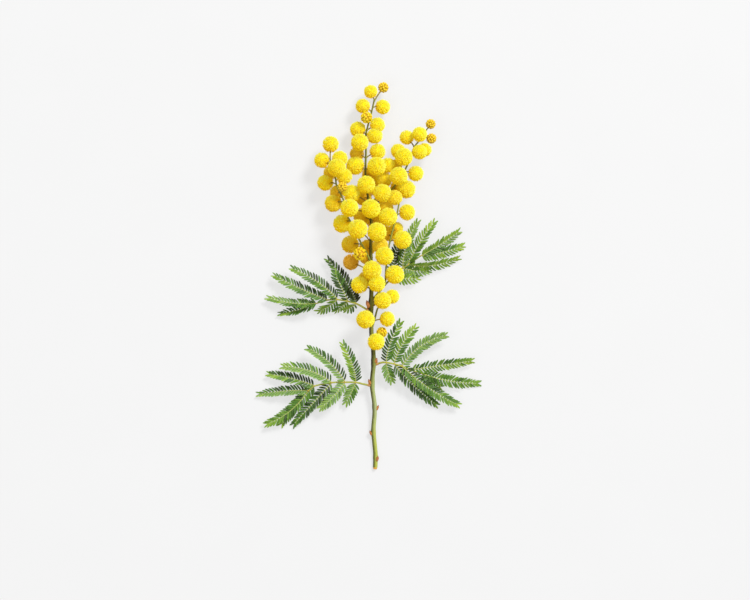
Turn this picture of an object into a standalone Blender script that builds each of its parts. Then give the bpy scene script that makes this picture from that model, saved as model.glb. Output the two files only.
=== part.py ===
"""A cut mimosa sprig lying on a flat surface.

The shapes are made in millimetres and scaled to metres at the end. +Z is up and +Y runs along the
twig to its tip. The origin is on the surface, under the middle of the sprig's outer box.
Points along stems, stalks and leaves are (x, y, z) in millimetres.
"""

import math
import random

import bmesh
import bpy
from mathutils import Matrix, Quaternion, Vector

MM = 0.001
CLEARANCE = 0.3  # between pieces that are separate bodies
SEED = 8

# The main stem lies on its cut end and arches up over the heads beneath it.
MAIN_STEM = [
    (3.0, -97.0, 1.0),
    (3.2, -91.0, 1.0),
    (2.6, -84.0, 1.4),
    (2.1, -78.0, 2.0),
    (2.7, -70.0, 2.9),
    (2.6, -64.5, 3.5),
    (1.6, -57.0, 4.4),
    (1.6, -51.5, 5.1),
    (2.2, -45.0, 6.2),
    (2.0, -37.2, 7.4),
    (1.2, -30.3, 8.4),
    (0.9, -17.3, 10.1),
    (1.1, -8.0, 10.9),
    (0.9, 8.0, 11.5),
    (0.8, 16.5, 11.6),
    (1.0, 26.5, 11.6),
    (-0.6, 39.0, 11.5),
    (-1.8, 50.0, 11.0),
    (-1.6, 61.5, 10.2),
    (-1.6, 70.0, 9.4),
    (-0.6, 75.0, 8.9),
    (1.1, 81.3, 8.1),
    (2.7, 88.5, 7.4),
]
# Radius of the main stem where its y is the first number.
MAIN_RADII = [(-97.0, 1.08), (-12.0, 1.05), (17.0, 0.72), (50.0, 0.5), (88.5, 0.36)]
STEM_SIDES = 8
BRANCH_SIDES = 5
CURVE_STEPS = 6  # steps of a smooth branch curve between two of its points

# Flowering side branches: points, then the radius at the foot and at the tip.
BRANCHES = {
    "left": (
        [
            (0.9, 3.5, 11.4),
            (-0.1, 8.5, 13.0),
            (-4.9, 17.6, 14.0),
            (-8.7, 25.7, 14.4),
            (-10.7, 29.3, 14.4),
            (-12.8, 37.2, 14.0),
            (-16.2, 44.8, 13.0),
            (-17.1, 49.6, 12.4),
            (-19.3, 55.3, 12.0),
        ],
        0.5,
        0.38,
    ),
    "upper_right": (
        [
            (0.0, 36.0, 11.5),
            (6.4, 40.0, 11.0),
            (11.9, 43.5, 11.4),
            (15.9, 49.5, 11.5),
            (18.9, 54.5, 11.5),
            (21.4, 61.0, 11.0),
            (22.9, 64.5, 10.8),
            (26.4, 69.0, 10.3),
            (28.9, 73.0, 9.8),
        ],
        0.5,
        0.36,
    ),
    "right": (
        [
            (1.1, -13.0, 10.5),
            (5.4, -8.0, 9.9),
            (7.9, -4.0, 9.8),
            (8.4, 2.5, 10.2),
            (9.4, 11.5, 11.4),
            (11.4, 21.0, 12.4),
            (13.7, 29.5, 12.5),
            (15.4, 38.0, 12.2),
        ],
        0.55,
        0.38,
    ),
    "lower_right": (
        [
            (1.1, -28.0, 8.8),
            (2.9, -21.5, 10.6),
            (4.4, -16.5, 10.6),
            (7.0, -14.3, 10.3),
        ],
        0.5,
        0.42,
    ),
}

# Flower heads: number, then x, y, z of the middle and diameter. The heads settle from here.
HEADS = {
    1: (7.1, 94.2, 7.0, 5.5),
    2: (1.1, 91.5, 8.0, 6.6),
    3: (-3.2, 84.8, 8.0, 7.1),
    4: (6.8, 84.4, 7.0, 7.2),
    5: (-1.3, 78.7, 12.5, 6.0),
    6: (3.9, 75.7, 9.0, 7.4),
    7: (-5.7, 73.1, 8.0, 7.7),
    8: (2.6, 69.2, 11.0, 7.6),
    9: (-4.3, 65.7, 13.0, 8.5),
    10: (4.1, 62.0, 10.0, 7.7),
    11: (-6.1, 60.6, 8.0, 7.0),
    12: (-6.4, 54.3, 12.0, 8.8),
    13: (3.2, 54.3, 15.0, 9.1),
    14: (-1.1, 44.8, 17.0, 8.7),
    15: (-19.3, 65.5, 11.0, 7.9),
    16: (-23.7, 57.5, 10.0, 7.5),
    17: (-14.5, 58.6, 13.0, 7.7),
    18: (-15.7, 52.9, 17.5, 8.8),
    19: (-19.3, 51.5, 8.0, 7.0),
    20: (-12.1, 49.8, 12.5, 7.8),
    21: (-21.9, 46.0, 9.0, 7.8),
    22: (-12.8, 44.3, 17.0, 5.2),
    23: (-9.2, 41.0, 14.0, 8.6),
    24: (-16.2, 42.0, 7.0, 7.0),
    25: (-18.1, 35.7, 9.0, 8.4),
    26: (-9.9, 33.3, 19.0, 8.8),
    27: (-13.5, 25.7, 11.0, 8.8),
    28: (-5.2, 22.6, 19.5, 9.5),
    29: (-9.5, 15.4, 8.0, 8.6),
    30: (-4.2, 10.6, 16.0, 6.8),
    31: (-9.2, 6.5, 8.5, 7.7),
    32: (1.3, 33.0, 17.5, 9.2),
    33: (6.3, 40.5, 16.5, 8.8),
    34: (9.2, 28.5, 17.0, 8.9),
    35: (3.7, 20.9, 17.5, 9.2),
    36: (-4.0, 29.5, 6.5, 8.2),
    37: (-2.8, 39.0, 3.3, 8.0),
    38: (7.3, 9.4, 16.5, 8.9),
    39: (1.6, 2.8, 17.5, 9.2),
    40: (12.8, 0.2, 13.0, 9.0),
    41: (-4.9, -5.0, 12.0, 8.3),
    42: (3.9, -4.5, 17.0, 8.2),
    43: (6.5, -12.9, 15.5, 8.3),
    44: (11.8, -10.7, 12.0, 7.0),
    45: (-1.8, -22.2, 14.5, 8.8),
    46: (9.0, -22.0, 9.5, 7.4),
    47: (6.3, -28.8, 8.0, 5.6),
    48: (3.5, -33.4, 13.5, 8.2),
    49: (30.8, 75.7, 9.5, 5.2),
    50: (31.2, 68.5, 8.5, 5.4),
    51: (18.8, 68.9, 10.5, 7.0),
    52: (25.2, 70.2, 15.0, 7.3),
    53: (28.1, 62.9, 9.5, 6.6),
    54: (24.7, 61.3, 14.5, 7.3),
    55: (14.4, 62.2, 10.5, 7.1),
    56: (17.6, 58.9, 15.5, 8.7),
    57: (23.3, 50.8, 11.0, 7.6),
    58: (9.7, 54.8, 11.0, 7.3),
    59: (14.7, 49.3, 17.0, 8.7),
    60: (18.8, 42.4, 12.5, 8.8),
    61: (7.0, 47.7, 8.0, 7.9),
    62: (13.3, 54.4, 6.0, 7.0),
    63: (12.5, 38.1, 15.0, 7.4),
    64: (18.5, 31.4, 12.0, 7.9),
    65: (13.7, 23.3, 8.0, 6.5),
    66: (16.6, 17.6, 13.0, 8.9),
    67: (8.5, 34.3, 12.0, 8.0),
    68: (9.4, 20.9, 6.0, 7.5),
    69: (6.1, 15.2, 13.0, 7.5),
    70: (13.7, 44.1, 7.5, 7.0),
    71: (-1.5, 8.5, 6.0, 6.5),
    72: (-1.6, -2.0, 7.0, 7.5),
    73: (2.6, 28.0, 3.5, 8.4),
    74: (1.2, 44.2, 4.6, 8.0),
    75: (-0.8, 14.0, 3.3, 8.0),
    76: (0.5, 50.5, 3.3, 8.0),
}
BUD_HEADS = (1, 22, 49, 50)
HALF_OPEN_HEADS = (5, 30, 47)
UNDER_HEADS = (11, 19, 24, 36, 37, 53, 62, 65, 68, 70, 71, 72, 73, 74, 75, 76)
COARSE_HEADS = BUD_HEADS + HALF_OPEN_HEADS + UNDER_HEADS
# Heads that touch: each one presses on the next in its row.
TOUCHING = [
    (6, 8),
    (12, 11),
    (13, 58, 62),
    (17, 18, 20),
    (19, 21),
    (25, 24),
    (33, 63),
    (34, 67),
    (36, 73),
    (37, 74, 76),
    (38, 69),
    (39, 42),
    (41, 72),
    (43, 44),
    (54, 53),
    (56, 55),
    (60, 70),
    (65, 68),
    (71, 75),
]
PRESS_DEPTH = 1.6  # how far two touching heads sink into each other
SETTLE_STEPS = 300
SIDEWAYS_SHIFT = 0.5  # the most a head moves sideways while it settles
FLAT_SPOT_DEPTH = 0.7  # what a resting head loses under itself

# Stalks whose foot is seen: head, branch and the y of the foot.
SEEN_FEET = {
    1: ("main", 88.0),
    3: ("main", 81.5),
    4: ("main", 82.5),
    6: ("main", 70.5),
    10: ("main", 57.5),
    23: ("main", 33.5),
    26: ("main", 27.0),
    28: ("main", 14.5),
    31: ("main", -1.0),
    35: ("main", 12.5),
    41: ("main", -8.5),
    46: ("lower_right", -24.5),
    66: ("right", 14.5),
}
FOOT_WINDOW = 2.0  # a seen foot may move this far along its branch
STALK_RADIUS = 0.38
STALK_SIDES = 3
STALK_BEND = 0.2  # how far a stalk first follows its branch, as a share of its length
STALK_TIP = 0.62  # where a stalk ends, as a share of its head's radius
LONGEST_STALK = 14.0  # from the branch to the surface of the head
# What makes a stalk a worse choice: leaning back from the tip of its branch, and passing close to heads.
LEAN_COST = 3.0
SQUEEZE_COST = 40.0
SQUEEZE_STEPS = 12  # places along a stalk where its room is measured

FLORET_VALLEY = 0.88  # height of the valleys between florets, as a share of the radius
STALK_DIMPLE = 0.42  # depth that the stalk's dimple reaches, as a share of the radius

# Buds and leaf scars on the main stem: y of the place, angle round the stem and length.
SCARS = [
    (-91.8, 20.0, 1.3),
    (-79.0, 160.0, 1.6),
    (-66.2, 10.0, 1.7),
    (-53.4, 150.0, 1.9),
    (-42.6, 30.0, 1.7),
    (-14.8, 155.0, 2.6),
]
SCAR_RADIUS = 0.55
SCAR_FOOT = 0.2  # from the stem's middle, so that the scar starts inside the stem
SCAR_COLLAR = 0.15  # the widest place, above the bark
SCAR_STAND = 0.45  # how far the tip stands off the bark, as a share of the scar's length
SCAR_LEAN = 0.6  # how far the tip lies forward, as a share of the scar's length

# Leaves: rachis points, then pinnae as (middle, tip, roll), with the rachis point that each grows from.
LEAVES = {
    "leaf_lower_left": (
        [
            (0.1, -55.4, 5.0),
            (-3.6, -54.6, 5.6),
            (-6.8, -53.9, 6.0),
            (-12.0, -53.8, 6.2),
            (-18.7, -54.0, 6.0),
            (-27.3, -55.7, 5.2),
            (-30.5, -58.0, 4.8),
        ],
        [
            (2, (-8.4, -45.0, 8.0), (-13.7, -33.5, 8.6), 10),
            (3, (-20.5, -43.4, 7.6), (-31.3, -36.5, 6.6), 20),
            (4, (-30.5, -47.9, 6.4), (-44.6, -46.0, 4.6), 20),
            (5, (-39.0, -52.0, 3.9), (-51.5, -49.7, 1.8), 30),
            (6, (-43.0, -58.4, 2.9), (-56.4, -60.2, 0.7), 35),
            (2, (-8.8, -58.8, 4.8), (-11.6, -64.4, 3.2), 10),
            (3, (-18.0, -61.0, 6.4), (-24.6, -67.0, 5.4), 10),
            (4, (-28.8, -65.0, 3.8), (-39.0, -76.2, 0.7), 15),
            (5, (-36.5, -65.0, 1.9), (-44.9, -76.1, 0.5), 0),
            (6, (-40.5, -68.9, 4.4), (-52.4, -75.2, 2.8), 10),
        ],
    ),
    "leaf_lower_right": (
        [
            (3.7, -44.7, 6.2),
            (6.4, -43.9, 6.8),
            (8.5, -43.9, 7.2),
            (12.5, -44.6, 7.5),
            (16.3, -45.7, 7.3),
            (20.8, -47.6, 6.6),
            (26.3, -49.3, 5.6),
        ],
        [
            (2, (10.6, -34.0, 9.0), (16.1, -22.7, 9.6), 10),
            (3, (16.6, -34.8, 8.6), (23.8, -25.8, 8.4), -10),
            (4, (26.5, -35.2, 7.6), (39.4, -30.0, 5.8), 15),
            (5, (37.0, -45.2, 6.0), (52.8, -43.0, 3.6), 25),
            (6, (40.8, -53.3, 3.4), (56.4, -54.5, 0.7), 10),
            (2, (9.5, -48.6, 5.8), (11.2, -53.3, 4.2), 0),
            (3, (22.9, -56.0, 4.2), (34.8, -66.0, 0.5), -10),
            (4, (31.0, -57.4, 6.0), (45.9, -65.8, 3.0), -10),
            (6, (30.8, -53.6, 3.6), (35.8, -56.2, 2.0), 0),
        ],
    ),
    "leaf_upper_left": (
        [
            (-0.6, -17.6, 10.0),
            (-4.3, -15.4, 9.2),
            (-6.6, -14.3, 8.6),
            (-10.5, -13.2, 8.0),
            (-15.8, -12.3, 7.4),
            (-20.6, -12.5, 6.8),
            (-26.1, -14.1, 6.0),
        ],
        [
            (2, (-11.7, -3.5, 5.8), (-22.1, 9.2, 2.8), 15),
            (3, (-14.0, -5.9, 8.4), (-17.3, 1.4, 8.0), 10),
            (4, (-26.0, -3.4, 8.0), (-39.9, 3.9, 6.0), 25),
            (5, (-34.0, -7.0, 6.2), (-49.1, 0.5, 4.0), 25),
            (6, (-38.4, -14.2, 4.4), (-51.9, -11.2, 2.2), 45),
            (2, (-9.2, -16.3, 6.0), (-12.0, -17.6, 3.6), -30),
            (3, (-13.6, -15.6, 5.2), (-16.8, -18.0, 2.6), -40),
            (4, (-20.6, -15.8, 5.0), (-25.4, -18.2, 2.2), -40),
            (6, (-35.0, -17.3, 2.9), (-45.1, -19.4, 0.6), 45),
        ],
    ),
    "leaf_upper_right": (
        [
            (2.5, -14.6, 8.7),
            (4.6, -9.5, 7.5),
            (7.9, -5.0, 7.0),
            (12.4, -0.6, 6.7),
            (16.8, 3.5, 6.5),
            (19.4, 5.1, 6.5),
            (25.9, 9.7, 6.3),
        ],
        [
            (3, (13.0, 9.0, 5.0), (16.2, 17.0, 3.2), 0),
            (4, (19.0, 15.6, 6.8), (24.8, 27.5, 4.8), -20),
            (5, (25.0, 15.6, 7.4), (33.6, 27.7, 6.0), -20),
            (6, (35.4, 15.2, 6.2), (45.7, 22.4, 4.4), 30),
            (6, (36.5, 11.4, 3.4), (47.9, 15.0, 0.5), 20),
            (5, (32.5, 5.0, 4.6), (45.6, 8.9, 2.4), 40),
            (4, (23.0, 2.3, 4.4), (30.3, 2.4, 2.8), 15),
            (3, (18.0, -1.8, 4.8), (24.7, -1.5, 2.2), 15),
        ],
    ),
}
RACHIS_RADIUS = 0.6
RACHIS_TIP_RADIUS = 0.45
RACHIS_SIDES = 6
BLADE_THICKNESS = 0.6
RIB_HALF_WIDTH = 0.36
LEAFLET_REACH = 2.6  # sideways, from the rib
LEAFLET_FORWARD = 2.0  # towards the tip
LEAFLET_LIFT = 0.5  # above the rib
LEAFLET_SPACING = 3.7
LEAST_PAIRS = 3
SMALLEST_LEAFLET = 0.62  # at the ends of a pinna, as a share of the largest
COMB_START = 0.06  # where the leaflets of a pinna start, as a share of its length
COMB_LENGTH = 0.86
LOWEST_BLADE = 0.35  # height of a blade's middle where it lies on the surface


def spline(points, steps):
    """Points of a smooth curve through the given ones, with this many steps between neighbours."""
    points = [Vector(point) for point in points]
    padded = [2 * points[0] - points[1]] + points + [2 * points[-1] - points[-2]]
    curve = []
    for before, start, end, after in zip(padded, padded[1:], padded[2:], padded[3:]):
        for step in range(steps):
            t = step / steps
            curve.append(
                start
                + 0.5 * t * (end - before)
                + t * t * (before - 2.5 * start + 2 * end - 0.5 * after)
                + 0.5 * t**3 * (after - before + 3 * (start - end))
            )
    return curve + [points[-1]]


def bezier(start, control, end, t):
    return (1 - t) ** 2 * start + 2 * t * (1 - t) * control + t * t * end


def between(table, value):
    """Reads a table of (place, amount) at a place between its rows."""
    for (low, first), (high, second) in zip(table, table[1:]):
        if value <= high:
            share = max(0.0, (value - low) / (high - low))
            return first + (second - first) * share
    return table[-1][1]


def tapered(points, foot, tip):
    """A list of (point, radius) whose radius goes evenly from foot to tip."""
    last = len(points) - 1
    return [(Vector(p), foot + (tip - foot) * i / last) for i, p in enumerate(points)]


def branch_curves():
    """Each branch as a list of (point, radius), about a millimetre apart."""
    curves = {"main": [(p, between(MAIN_RADII, p.y)) for p in spline(MAIN_STEM, CURVE_STEPS)]}
    for name, (points, foot, tip) in BRANCHES.items():
        curves[name] = tapered(spline(points, CURVE_STEPS), foot, tip)
    return curves


class Head:
    """One flower head: where it started, where it is now and its radius."""

    def __init__(self, x, y, z, diameter):
        self.start = Vector((x, y, z))
        self.middle = self.start.copy()
        self.radius = diameter / 2

    def keep_in_place(self):
        for axis in (0, 1):
            low = self.start[axis] - SIDEWAYS_SHIFT
            high = self.start[axis] + SIDEWAYS_SHIFT
            self.middle[axis] = min(max(self.middle[axis], low), high)
        self.middle.z = max(self.middle.z, self.radius - FLAT_SPOT_DEPTH)


def settle(heads, curves):
    """Moves the heads off one another and off the branches, and touching ones together."""
    partners = {pair for row in TOUCHING for pair in zip(row, row[1:])}
    numbers = sorted(heads)
    twigs = [(point, radius) for curve in curves.values() for point, radius in curve]
    for _ in range(SETTLE_STEPS):
        for i, first in enumerate(numbers):
            for second in numbers[i + 1 :]:
                a, b = heads[first], heads[second]
                apart = b.middle - a.middle
                wanted = a.radius + b.radius
                touching = (first, second) in partners or (second, first) in partners
                wanted += -PRESS_DEPTH if touching else CLEARANCE + 0.1
                if apart.length < wanted or touching:
                    push = 0.5 * (wanted - apart.length) * apart.normalized()
                    a.middle -= push
                    b.middle += push
        for number in numbers:
            head = heads[number]
            for point, radius in twigs:
                apart = head.middle - point
                wanted = head.radius + radius + CLEARANCE + 0.1
                if apart.length < wanted:
                    head.middle += (wanted - apart.length) * apart.normalized()
            head.keep_in_place()


class Stalk:
    """The thin stalk of a head: a bent line from its foot on a branch into the head."""

    def __init__(self, foot, forward, head):
        self.foot = foot
        self.control = foot + STALK_BEND * (head.middle - foot).length * forward
        self.entry = (self.control - head.middle).normalized()
        self.end = head.middle + STALK_TIP * head.radius * self.entry

    def at(self, t):
        return bezier(self.foot, self.control, self.end, t)

    def squeeze(self, heads, own):
        """How far the stalk comes too near to heads: 0 for a clear way."""
        total = 0.0
        for step in range(SQUEEZE_STEPS + 1):
            point = self.at(step / SQUEEZE_STEPS)
            for number, head in heads.items():
                distance = (point - head.middle).length
                room = head.radius + STALK_RADIUS + CLEARANCE
                if number == own:
                    room = head.radius if step < SQUEEZE_STEPS / 2 else 0.0
                total += max(0.0, room - distance)
        return total


def feet_of(number, curves):
    """The places on the branches where a head's stalk may start, as (point, forward)."""
    branch, height = SEEN_FEET.get(number, (None, None))
    for name, curve in curves.items():
        if branch not in (None, name):
            continue
        for (point, _), (after, _) in zip(curve, curve[1:]):
            if branch is None or abs(point.y - height) < FOOT_WINDOW:
                yield point, (after - point).normalized()


def choose_stalk(number, heads, curves):
    """The shortest clear stalk that leans towards the tip of its branch."""
    head = heads[number]
    best = None
    for foot, forward in feet_of(number, curves):
        reach = head.middle - foot
        if reach.length > head.radius + LONGEST_STALK:
            continue
        stalk = Stalk(foot, forward, head)
        lean = 1 - forward.dot(reach.normalized())
        cost = reach.length + LEAN_COST * lean + SQUEEZE_COST * stalk.squeeze(heads, number)
        if best is None or cost < best[0]:
            best = (cost, stalk)
    return best[1]


def mesh_object(name, bm):
    mesh = bpy.data.meshes.new(name)
    bm.to_mesh(mesh)
    bm.free()
    made = bpy.data.objects.new(name, mesh)
    bpy.context.scene.collection.objects.link(made)
    return made


def paint(body, finish):
    body.data.materials.clear()
    body.data.materials.append(finish)


def tube(name, path, sides):
    """A round bar along a list of (point, radius), with flat ends."""
    bm = bmesh.new()
    rings = []
    side = Vector((1, 0, 0))
    points = [point for point, _ in path]
    for i, (point, radius) in enumerate(path):
        along = (points[min(i + 1, len(points) - 1)] - points[max(i - 1, 0)]).normalized()
        side = (side - along * side.dot(along)).normalized()
        up = side.cross(along)
        ring = []
        for corner in range(sides):
            angle = 2 * math.pi * (corner + 0.5) / sides
            ring.append(bm.verts.new(point + radius * (math.cos(angle) * side + math.sin(angle) * up)))
        rings.append(ring)
    for lower, upper in zip(rings, rings[1:]):
        for i in range(sides):
            j = (i + 1) % sides
            bm.faces.new((lower[i], lower[j], upper[j], upper[i]))
    bm.faces.new(rings[0])
    bm.faces.new(rings[-1])
    bmesh.ops.recalc_face_normals(bm, faces=bm.faces)
    return mesh_object(name, bm)


def unite(name, pieces):
    """Joins overlapping pieces into one closed body with this name."""
    body = pieces[0]
    body.name = name
    if len(pieces) > 1:
        others = bpy.data.collections.new("others")
        bpy.context.scene.collection.children.link(others)
        for piece in pieces[1:]:
            bpy.context.scene.collection.objects.unlink(piece)
            others.objects.link(piece)
        union = body.modifiers.new("union", "BOOLEAN")
        union.operation = "UNION"
        union.operand_type = "COLLECTION"
        union.collection = others
        union.solver = "EXACT"
        graph = bpy.context.evaluated_depsgraph_get()
        joined = bpy.data.meshes.new_from_object(body.evaluated_get(graph))
        body.modifiers.clear()
        body.data = joined
        for piece in pieces[1:]:
            bpy.data.objects.remove(piece)
        bpy.data.collections.remove(others)
    body.data.name = name
    return body


def scar(y, angle, length, curve):
    """A small blunt bud that leans forward out of the main stem."""
    point, radius = min(curve, key=lambda place: abs(place[0].y - y))
    turn = math.radians(angle)
    outward = Vector((math.cos(turn), 0.0, math.sin(turn)))
    forward = Vector((0, SCAR_LEAN * length, 0))
    foot = point + SCAR_FOOT * outward
    collar = point + (radius + SCAR_COLLAR) * outward + forward / 3
    tip = point + (radius + SCAR_STAND * length) * outward + forward
    path = [(foot, SCAR_RADIUS), (collar, SCAR_RADIUS), (tip, SCAR_RADIUS / 2)]
    return tube("scar", path, BRANCH_SIDES)


def build_stem(heads, curves, finish):
    """The main stem, its flowering branches and every stalk, in one body."""
    main = [(point, between(MAIN_RADII, point.y)) for point in map(Vector, MAIN_STEM)]
    pieces = [tube("main", main, STEM_SIDES)]
    for name, (points, foot, tip) in BRANCHES.items():
        pieces.append(tube(name, tapered(points, foot, tip), BRANCH_SIDES))
    for number in sorted(heads):
        stalk = choose_stalk(number, heads, curves)
        heads[number].entry = stalk.entry
        path = [(stalk.at(t), STALK_RADIUS) for t in (0, 0.5, 1)]
        pieces.append(tube("stalk", path, STALK_SIDES))
    for y, angle, length in SCARS:
        pieces.append(scar(y, angle, length, curves["main"]))
    paint(unite("stem", pieces), finish)


def floret_ball(head, fine, turn):
    """A head whose florets stand up as points, with a dimple where its stalk goes in."""
    bm = bmesh.new()
    bmesh.ops.create_icosphere(bm, subdivisions=2 if fine else 1, radius=1.0)
    corners = [v for v in bm.verts if len(v.link_edges) == 5]
    pole = corners[0]
    if fine:
        poked = [f for f in bm.faces if not any(v in corners for v in f.verts)]
        valleys = [v for v in bm.verts if v not in corners]
    else:
        poked = list(bm.faces)
        valleys = corners
    bmesh.ops.poke(bm, faces=poked)
    aim = Quaternion(head.entry, turn) @ pole.co.rotation_difference(head.entry)
    for vert in bm.verts:
        height = FLORET_VALLEY if vert in valleys else 1.0
        if vert == pole:
            height = STALK_DIMPLE
        vert.co = head.middle + head.radius * height * (aim @ vert.co.normalized())
    return mesh_object("ball", bm)


def cut_flat_below(body):
    """Gives a body that reaches under the surface a flat spot to rest on."""
    bm = bmesh.new()
    bm.from_mesh(body.data)
    geometry = bm.verts[:] + bm.edges[:] + bm.faces[:]
    cut = bmesh.ops.bisect_plane(
        bm, geom=geometry, dist=0.001, plane_co=(0, 0, 0), plane_no=(0, 0, 1), clear_inner=True
    )
    rim = [item for item in cut["geom_cut"] if isinstance(item, bmesh.types.BMEdge)]
    bmesh.ops.contextual_create(bm, geom=rim)
    bmesh.ops.recalc_face_normals(bm, faces=bm.faces)
    bm.to_mesh(body.data)
    bm.free()


def head_node_name(row):
    numbers = "_".join(f"{number:02d}" for number in row)
    if row[0] in BUD_HEADS:
        return "bud_" + numbers
    if row[0] in HALF_OPEN_HEADS:
        return "half_open_" + numbers
    return ("head_" if len(row) == 1 else "heads_") + numbers


def build_heads(heads, finishes):
    """One body for each head, or for each row of heads that touch."""
    draw = random.Random(SEED)
    joined = {number for row in TOUCHING for number in row}
    rows = list(TOUCHING) + [(number,) for number in heads if number not in joined]
    for row in sorted(rows):
        balls = []
        for number in row:
            fine = number not in COARSE_HEADS
            balls.append(floret_ball(heads[number], fine, draw.uniform(0, math.tau)))
        body = unite(head_node_name(row), balls)
        if min(vert.co.z for vert in body.data.vertices) < 0:
            cut_flat_below(body)
        paint(body, finishes["bud"] if row[0] in BUD_HEADS else finishes["flower"])


def pinna(start, middle, tip, roll):
    """One thin arched comb: leaflets cut to the rib, the same triangles on both faces."""
    control = 2 * middle - 0.5 * (start + tip)
    length = (middle - start).length + (tip - middle).length
    pairs = max(LEAST_PAIRS, round(length / LEAFLET_SPACING))
    bm = bmesh.new()

    def frame(t):
        along = ((1 - t) * (control - start) + t * (tip - control)).normalized()
        across = along.cross(Vector((0, 0, 1))).normalized()
        across = Quaternion(along, math.radians(roll)) @ across
        return along, across, across.cross(along)

    def both_faces(point, up):
        point.z = max(point.z, LOWEST_BLADE)
        half = 0.5 * BLADE_THICKNESS * up
        return bm.verts.new(point + half), bm.verts.new(point - half)

    notches = []
    for i in range(pairs + 1):
        t = COMB_START + COMB_LENGTH * i / pairs if i else 0.0
        along, across, up = frame(t)
        rib = bezier(start, control, tip, t)
        notches.append([both_faces(rib + s * RIB_HALF_WIDTH * across, up) for s in (-1, 1)])
    leaflets = []
    for i in range(pairs):
        t = COMB_START + COMB_LENGTH * (i + 0.5) / pairs
        along, across, up = frame(t)
        size = SMALLEST_LEAFLET + (1 - SMALLEST_LEAFLET) * math.sin(math.pi * t)
        rib = bezier(start, control, tip, t)
        reach = size * (LEAFLET_FORWARD * along + LEAFLET_LIFT * up)
        sides = [rib + reach + s * size * LEAFLET_REACH * across for s in (-1, 1)]
        leaflets.append([both_faces(side, up) for side in sides])
    end = both_faces(tip.copy(), frame(1.0)[2])

    outline = [pair[0] for pair in interleave(notches, leaflets)]
    outline.append(end)
    outline += [pair[1] for pair in reversed(interleave(notches, leaflets))]
    flat = []
    for i in range(pairs):
        (low_left, low_right), (high_left, high_right) = notches[i], notches[i + 1]
        flat += [(low_left, low_right, high_right), (low_left, high_right, high_left)]
        flat += [(low_left, high_left, leaflets[i][0]), (low_right, leaflets[i][1], high_right)]
    flat.append((notches[-1][0], notches[-1][1], end))
    for corners in flat:
        bm.faces.new([corner[0] for corner in corners])
        bm.faces.new([corner[1] for corner in reversed(corners)])
    for here, there in zip(outline, outline[1:] + outline[:1]):
        bm.faces.new((here[0], here[1], there[1]))
        bm.faces.new((here[0], there[1], there[0]))
    bmesh.ops.recalc_face_normals(bm, faces=bm.faces)
    return mesh_object("pinna", bm)


def interleave(notches, leaflets):
    """Notch, leaflet, notch and so on, from the foot of a pinna to its last notch."""
    row = []
    for notch, leaflet in zip(notches, leaflets):
        row += [notch, leaflet]
    return row + [notches[-1]]


def build_leaf(name, finish):
    points, pinnae = LEAVES[name]
    rachis = tapered(points, RACHIS_RADIUS, RACHIS_TIP_RADIUS)
    pieces = [tube(name, rachis, RACHIS_SIDES)]
    for foot, middle, tip, roll in pinnae:
        pieces.append(pinna(Vector(points[foot]), Vector(middle), Vector(tip), roll))
    paint(unite(name, pieces), finish)


def finish_of(name, colour, roughness):
    material = bpy.data.materials.new(name)
    material.use_nodes = True
    shader = material.node_tree.nodes["Principled BSDF"]
    shader.inputs["Base Color"].default_value = (*colour, 1.0)
    shader.inputs["Roughness"].default_value = roughness
    shader.inputs["Metallic"].default_value = 0.0
    return material


def clear_scene():
    for thing in list(bpy.data.objects):
        bpy.data.objects.remove(thing)


def main():
    clear_scene()
    finishes = {
        "stem": finish_of("stem", (0.20, 0.21, 0.05), 0.6),
        "leaf": finish_of("leaf", (0.10, 0.21, 0.03), 0.55),
        "flower": finish_of("flower", (0.93, 0.68, 0.02), 0.85),
        "bud": finish_of("bud", (0.55, 0.38, 0.03), 0.7),
    }
    curves = branch_curves()
    heads = {number: Head(*place) for number, place in HEADS.items()}
    settle(heads, curves)
    build_stem(heads, curves, finishes["stem"])
    for name in LEAVES:
        build_leaf(name, finishes["leaf"])
    build_heads(heads, finishes)
    for thing in bpy.context.scene.objects:
        thing.data.transform(Matrix.Scale(MM, 4))


main()
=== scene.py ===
"""The looks of a cut mimosa sprig: fluffy yellow flower heads, feathery leaves and a green stem.

Lengths are in millimetres here and become metres when a piece is made. +Z is up, +Y runs along the
twig to its tip, and the origin is on the surface, under the middle of the sprig. The heads, branches,
stalks and leaves are laid out as in the part's own source, so each piece lies in its solid's place.
"""

import math
from itertools import combinations

import bpy
import numpy as np
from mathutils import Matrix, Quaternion, Vector


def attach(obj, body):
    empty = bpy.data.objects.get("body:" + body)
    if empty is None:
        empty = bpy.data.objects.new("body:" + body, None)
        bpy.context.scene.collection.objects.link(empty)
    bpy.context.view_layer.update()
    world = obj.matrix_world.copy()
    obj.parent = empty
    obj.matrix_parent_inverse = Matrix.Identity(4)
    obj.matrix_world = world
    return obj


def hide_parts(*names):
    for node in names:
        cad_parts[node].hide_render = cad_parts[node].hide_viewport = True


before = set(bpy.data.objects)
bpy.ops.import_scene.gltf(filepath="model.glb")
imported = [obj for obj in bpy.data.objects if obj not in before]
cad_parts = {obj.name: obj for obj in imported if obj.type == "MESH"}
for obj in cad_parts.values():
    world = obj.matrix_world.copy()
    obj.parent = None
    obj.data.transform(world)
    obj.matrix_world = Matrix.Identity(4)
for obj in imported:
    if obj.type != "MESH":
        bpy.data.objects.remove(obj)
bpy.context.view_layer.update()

MM = 0.001
SEED = 11
UP = Vector((0, 0, 1))
LOWEST = 0.04  # height of the lowest corners above the surface
CLEARANCE = 0.3  # between pieces that are separate bodies
SHARP_ANGLE = 70.0
MAP_MARGIN = 0.08  # round what is drawn on each tile of a piece's map

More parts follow.
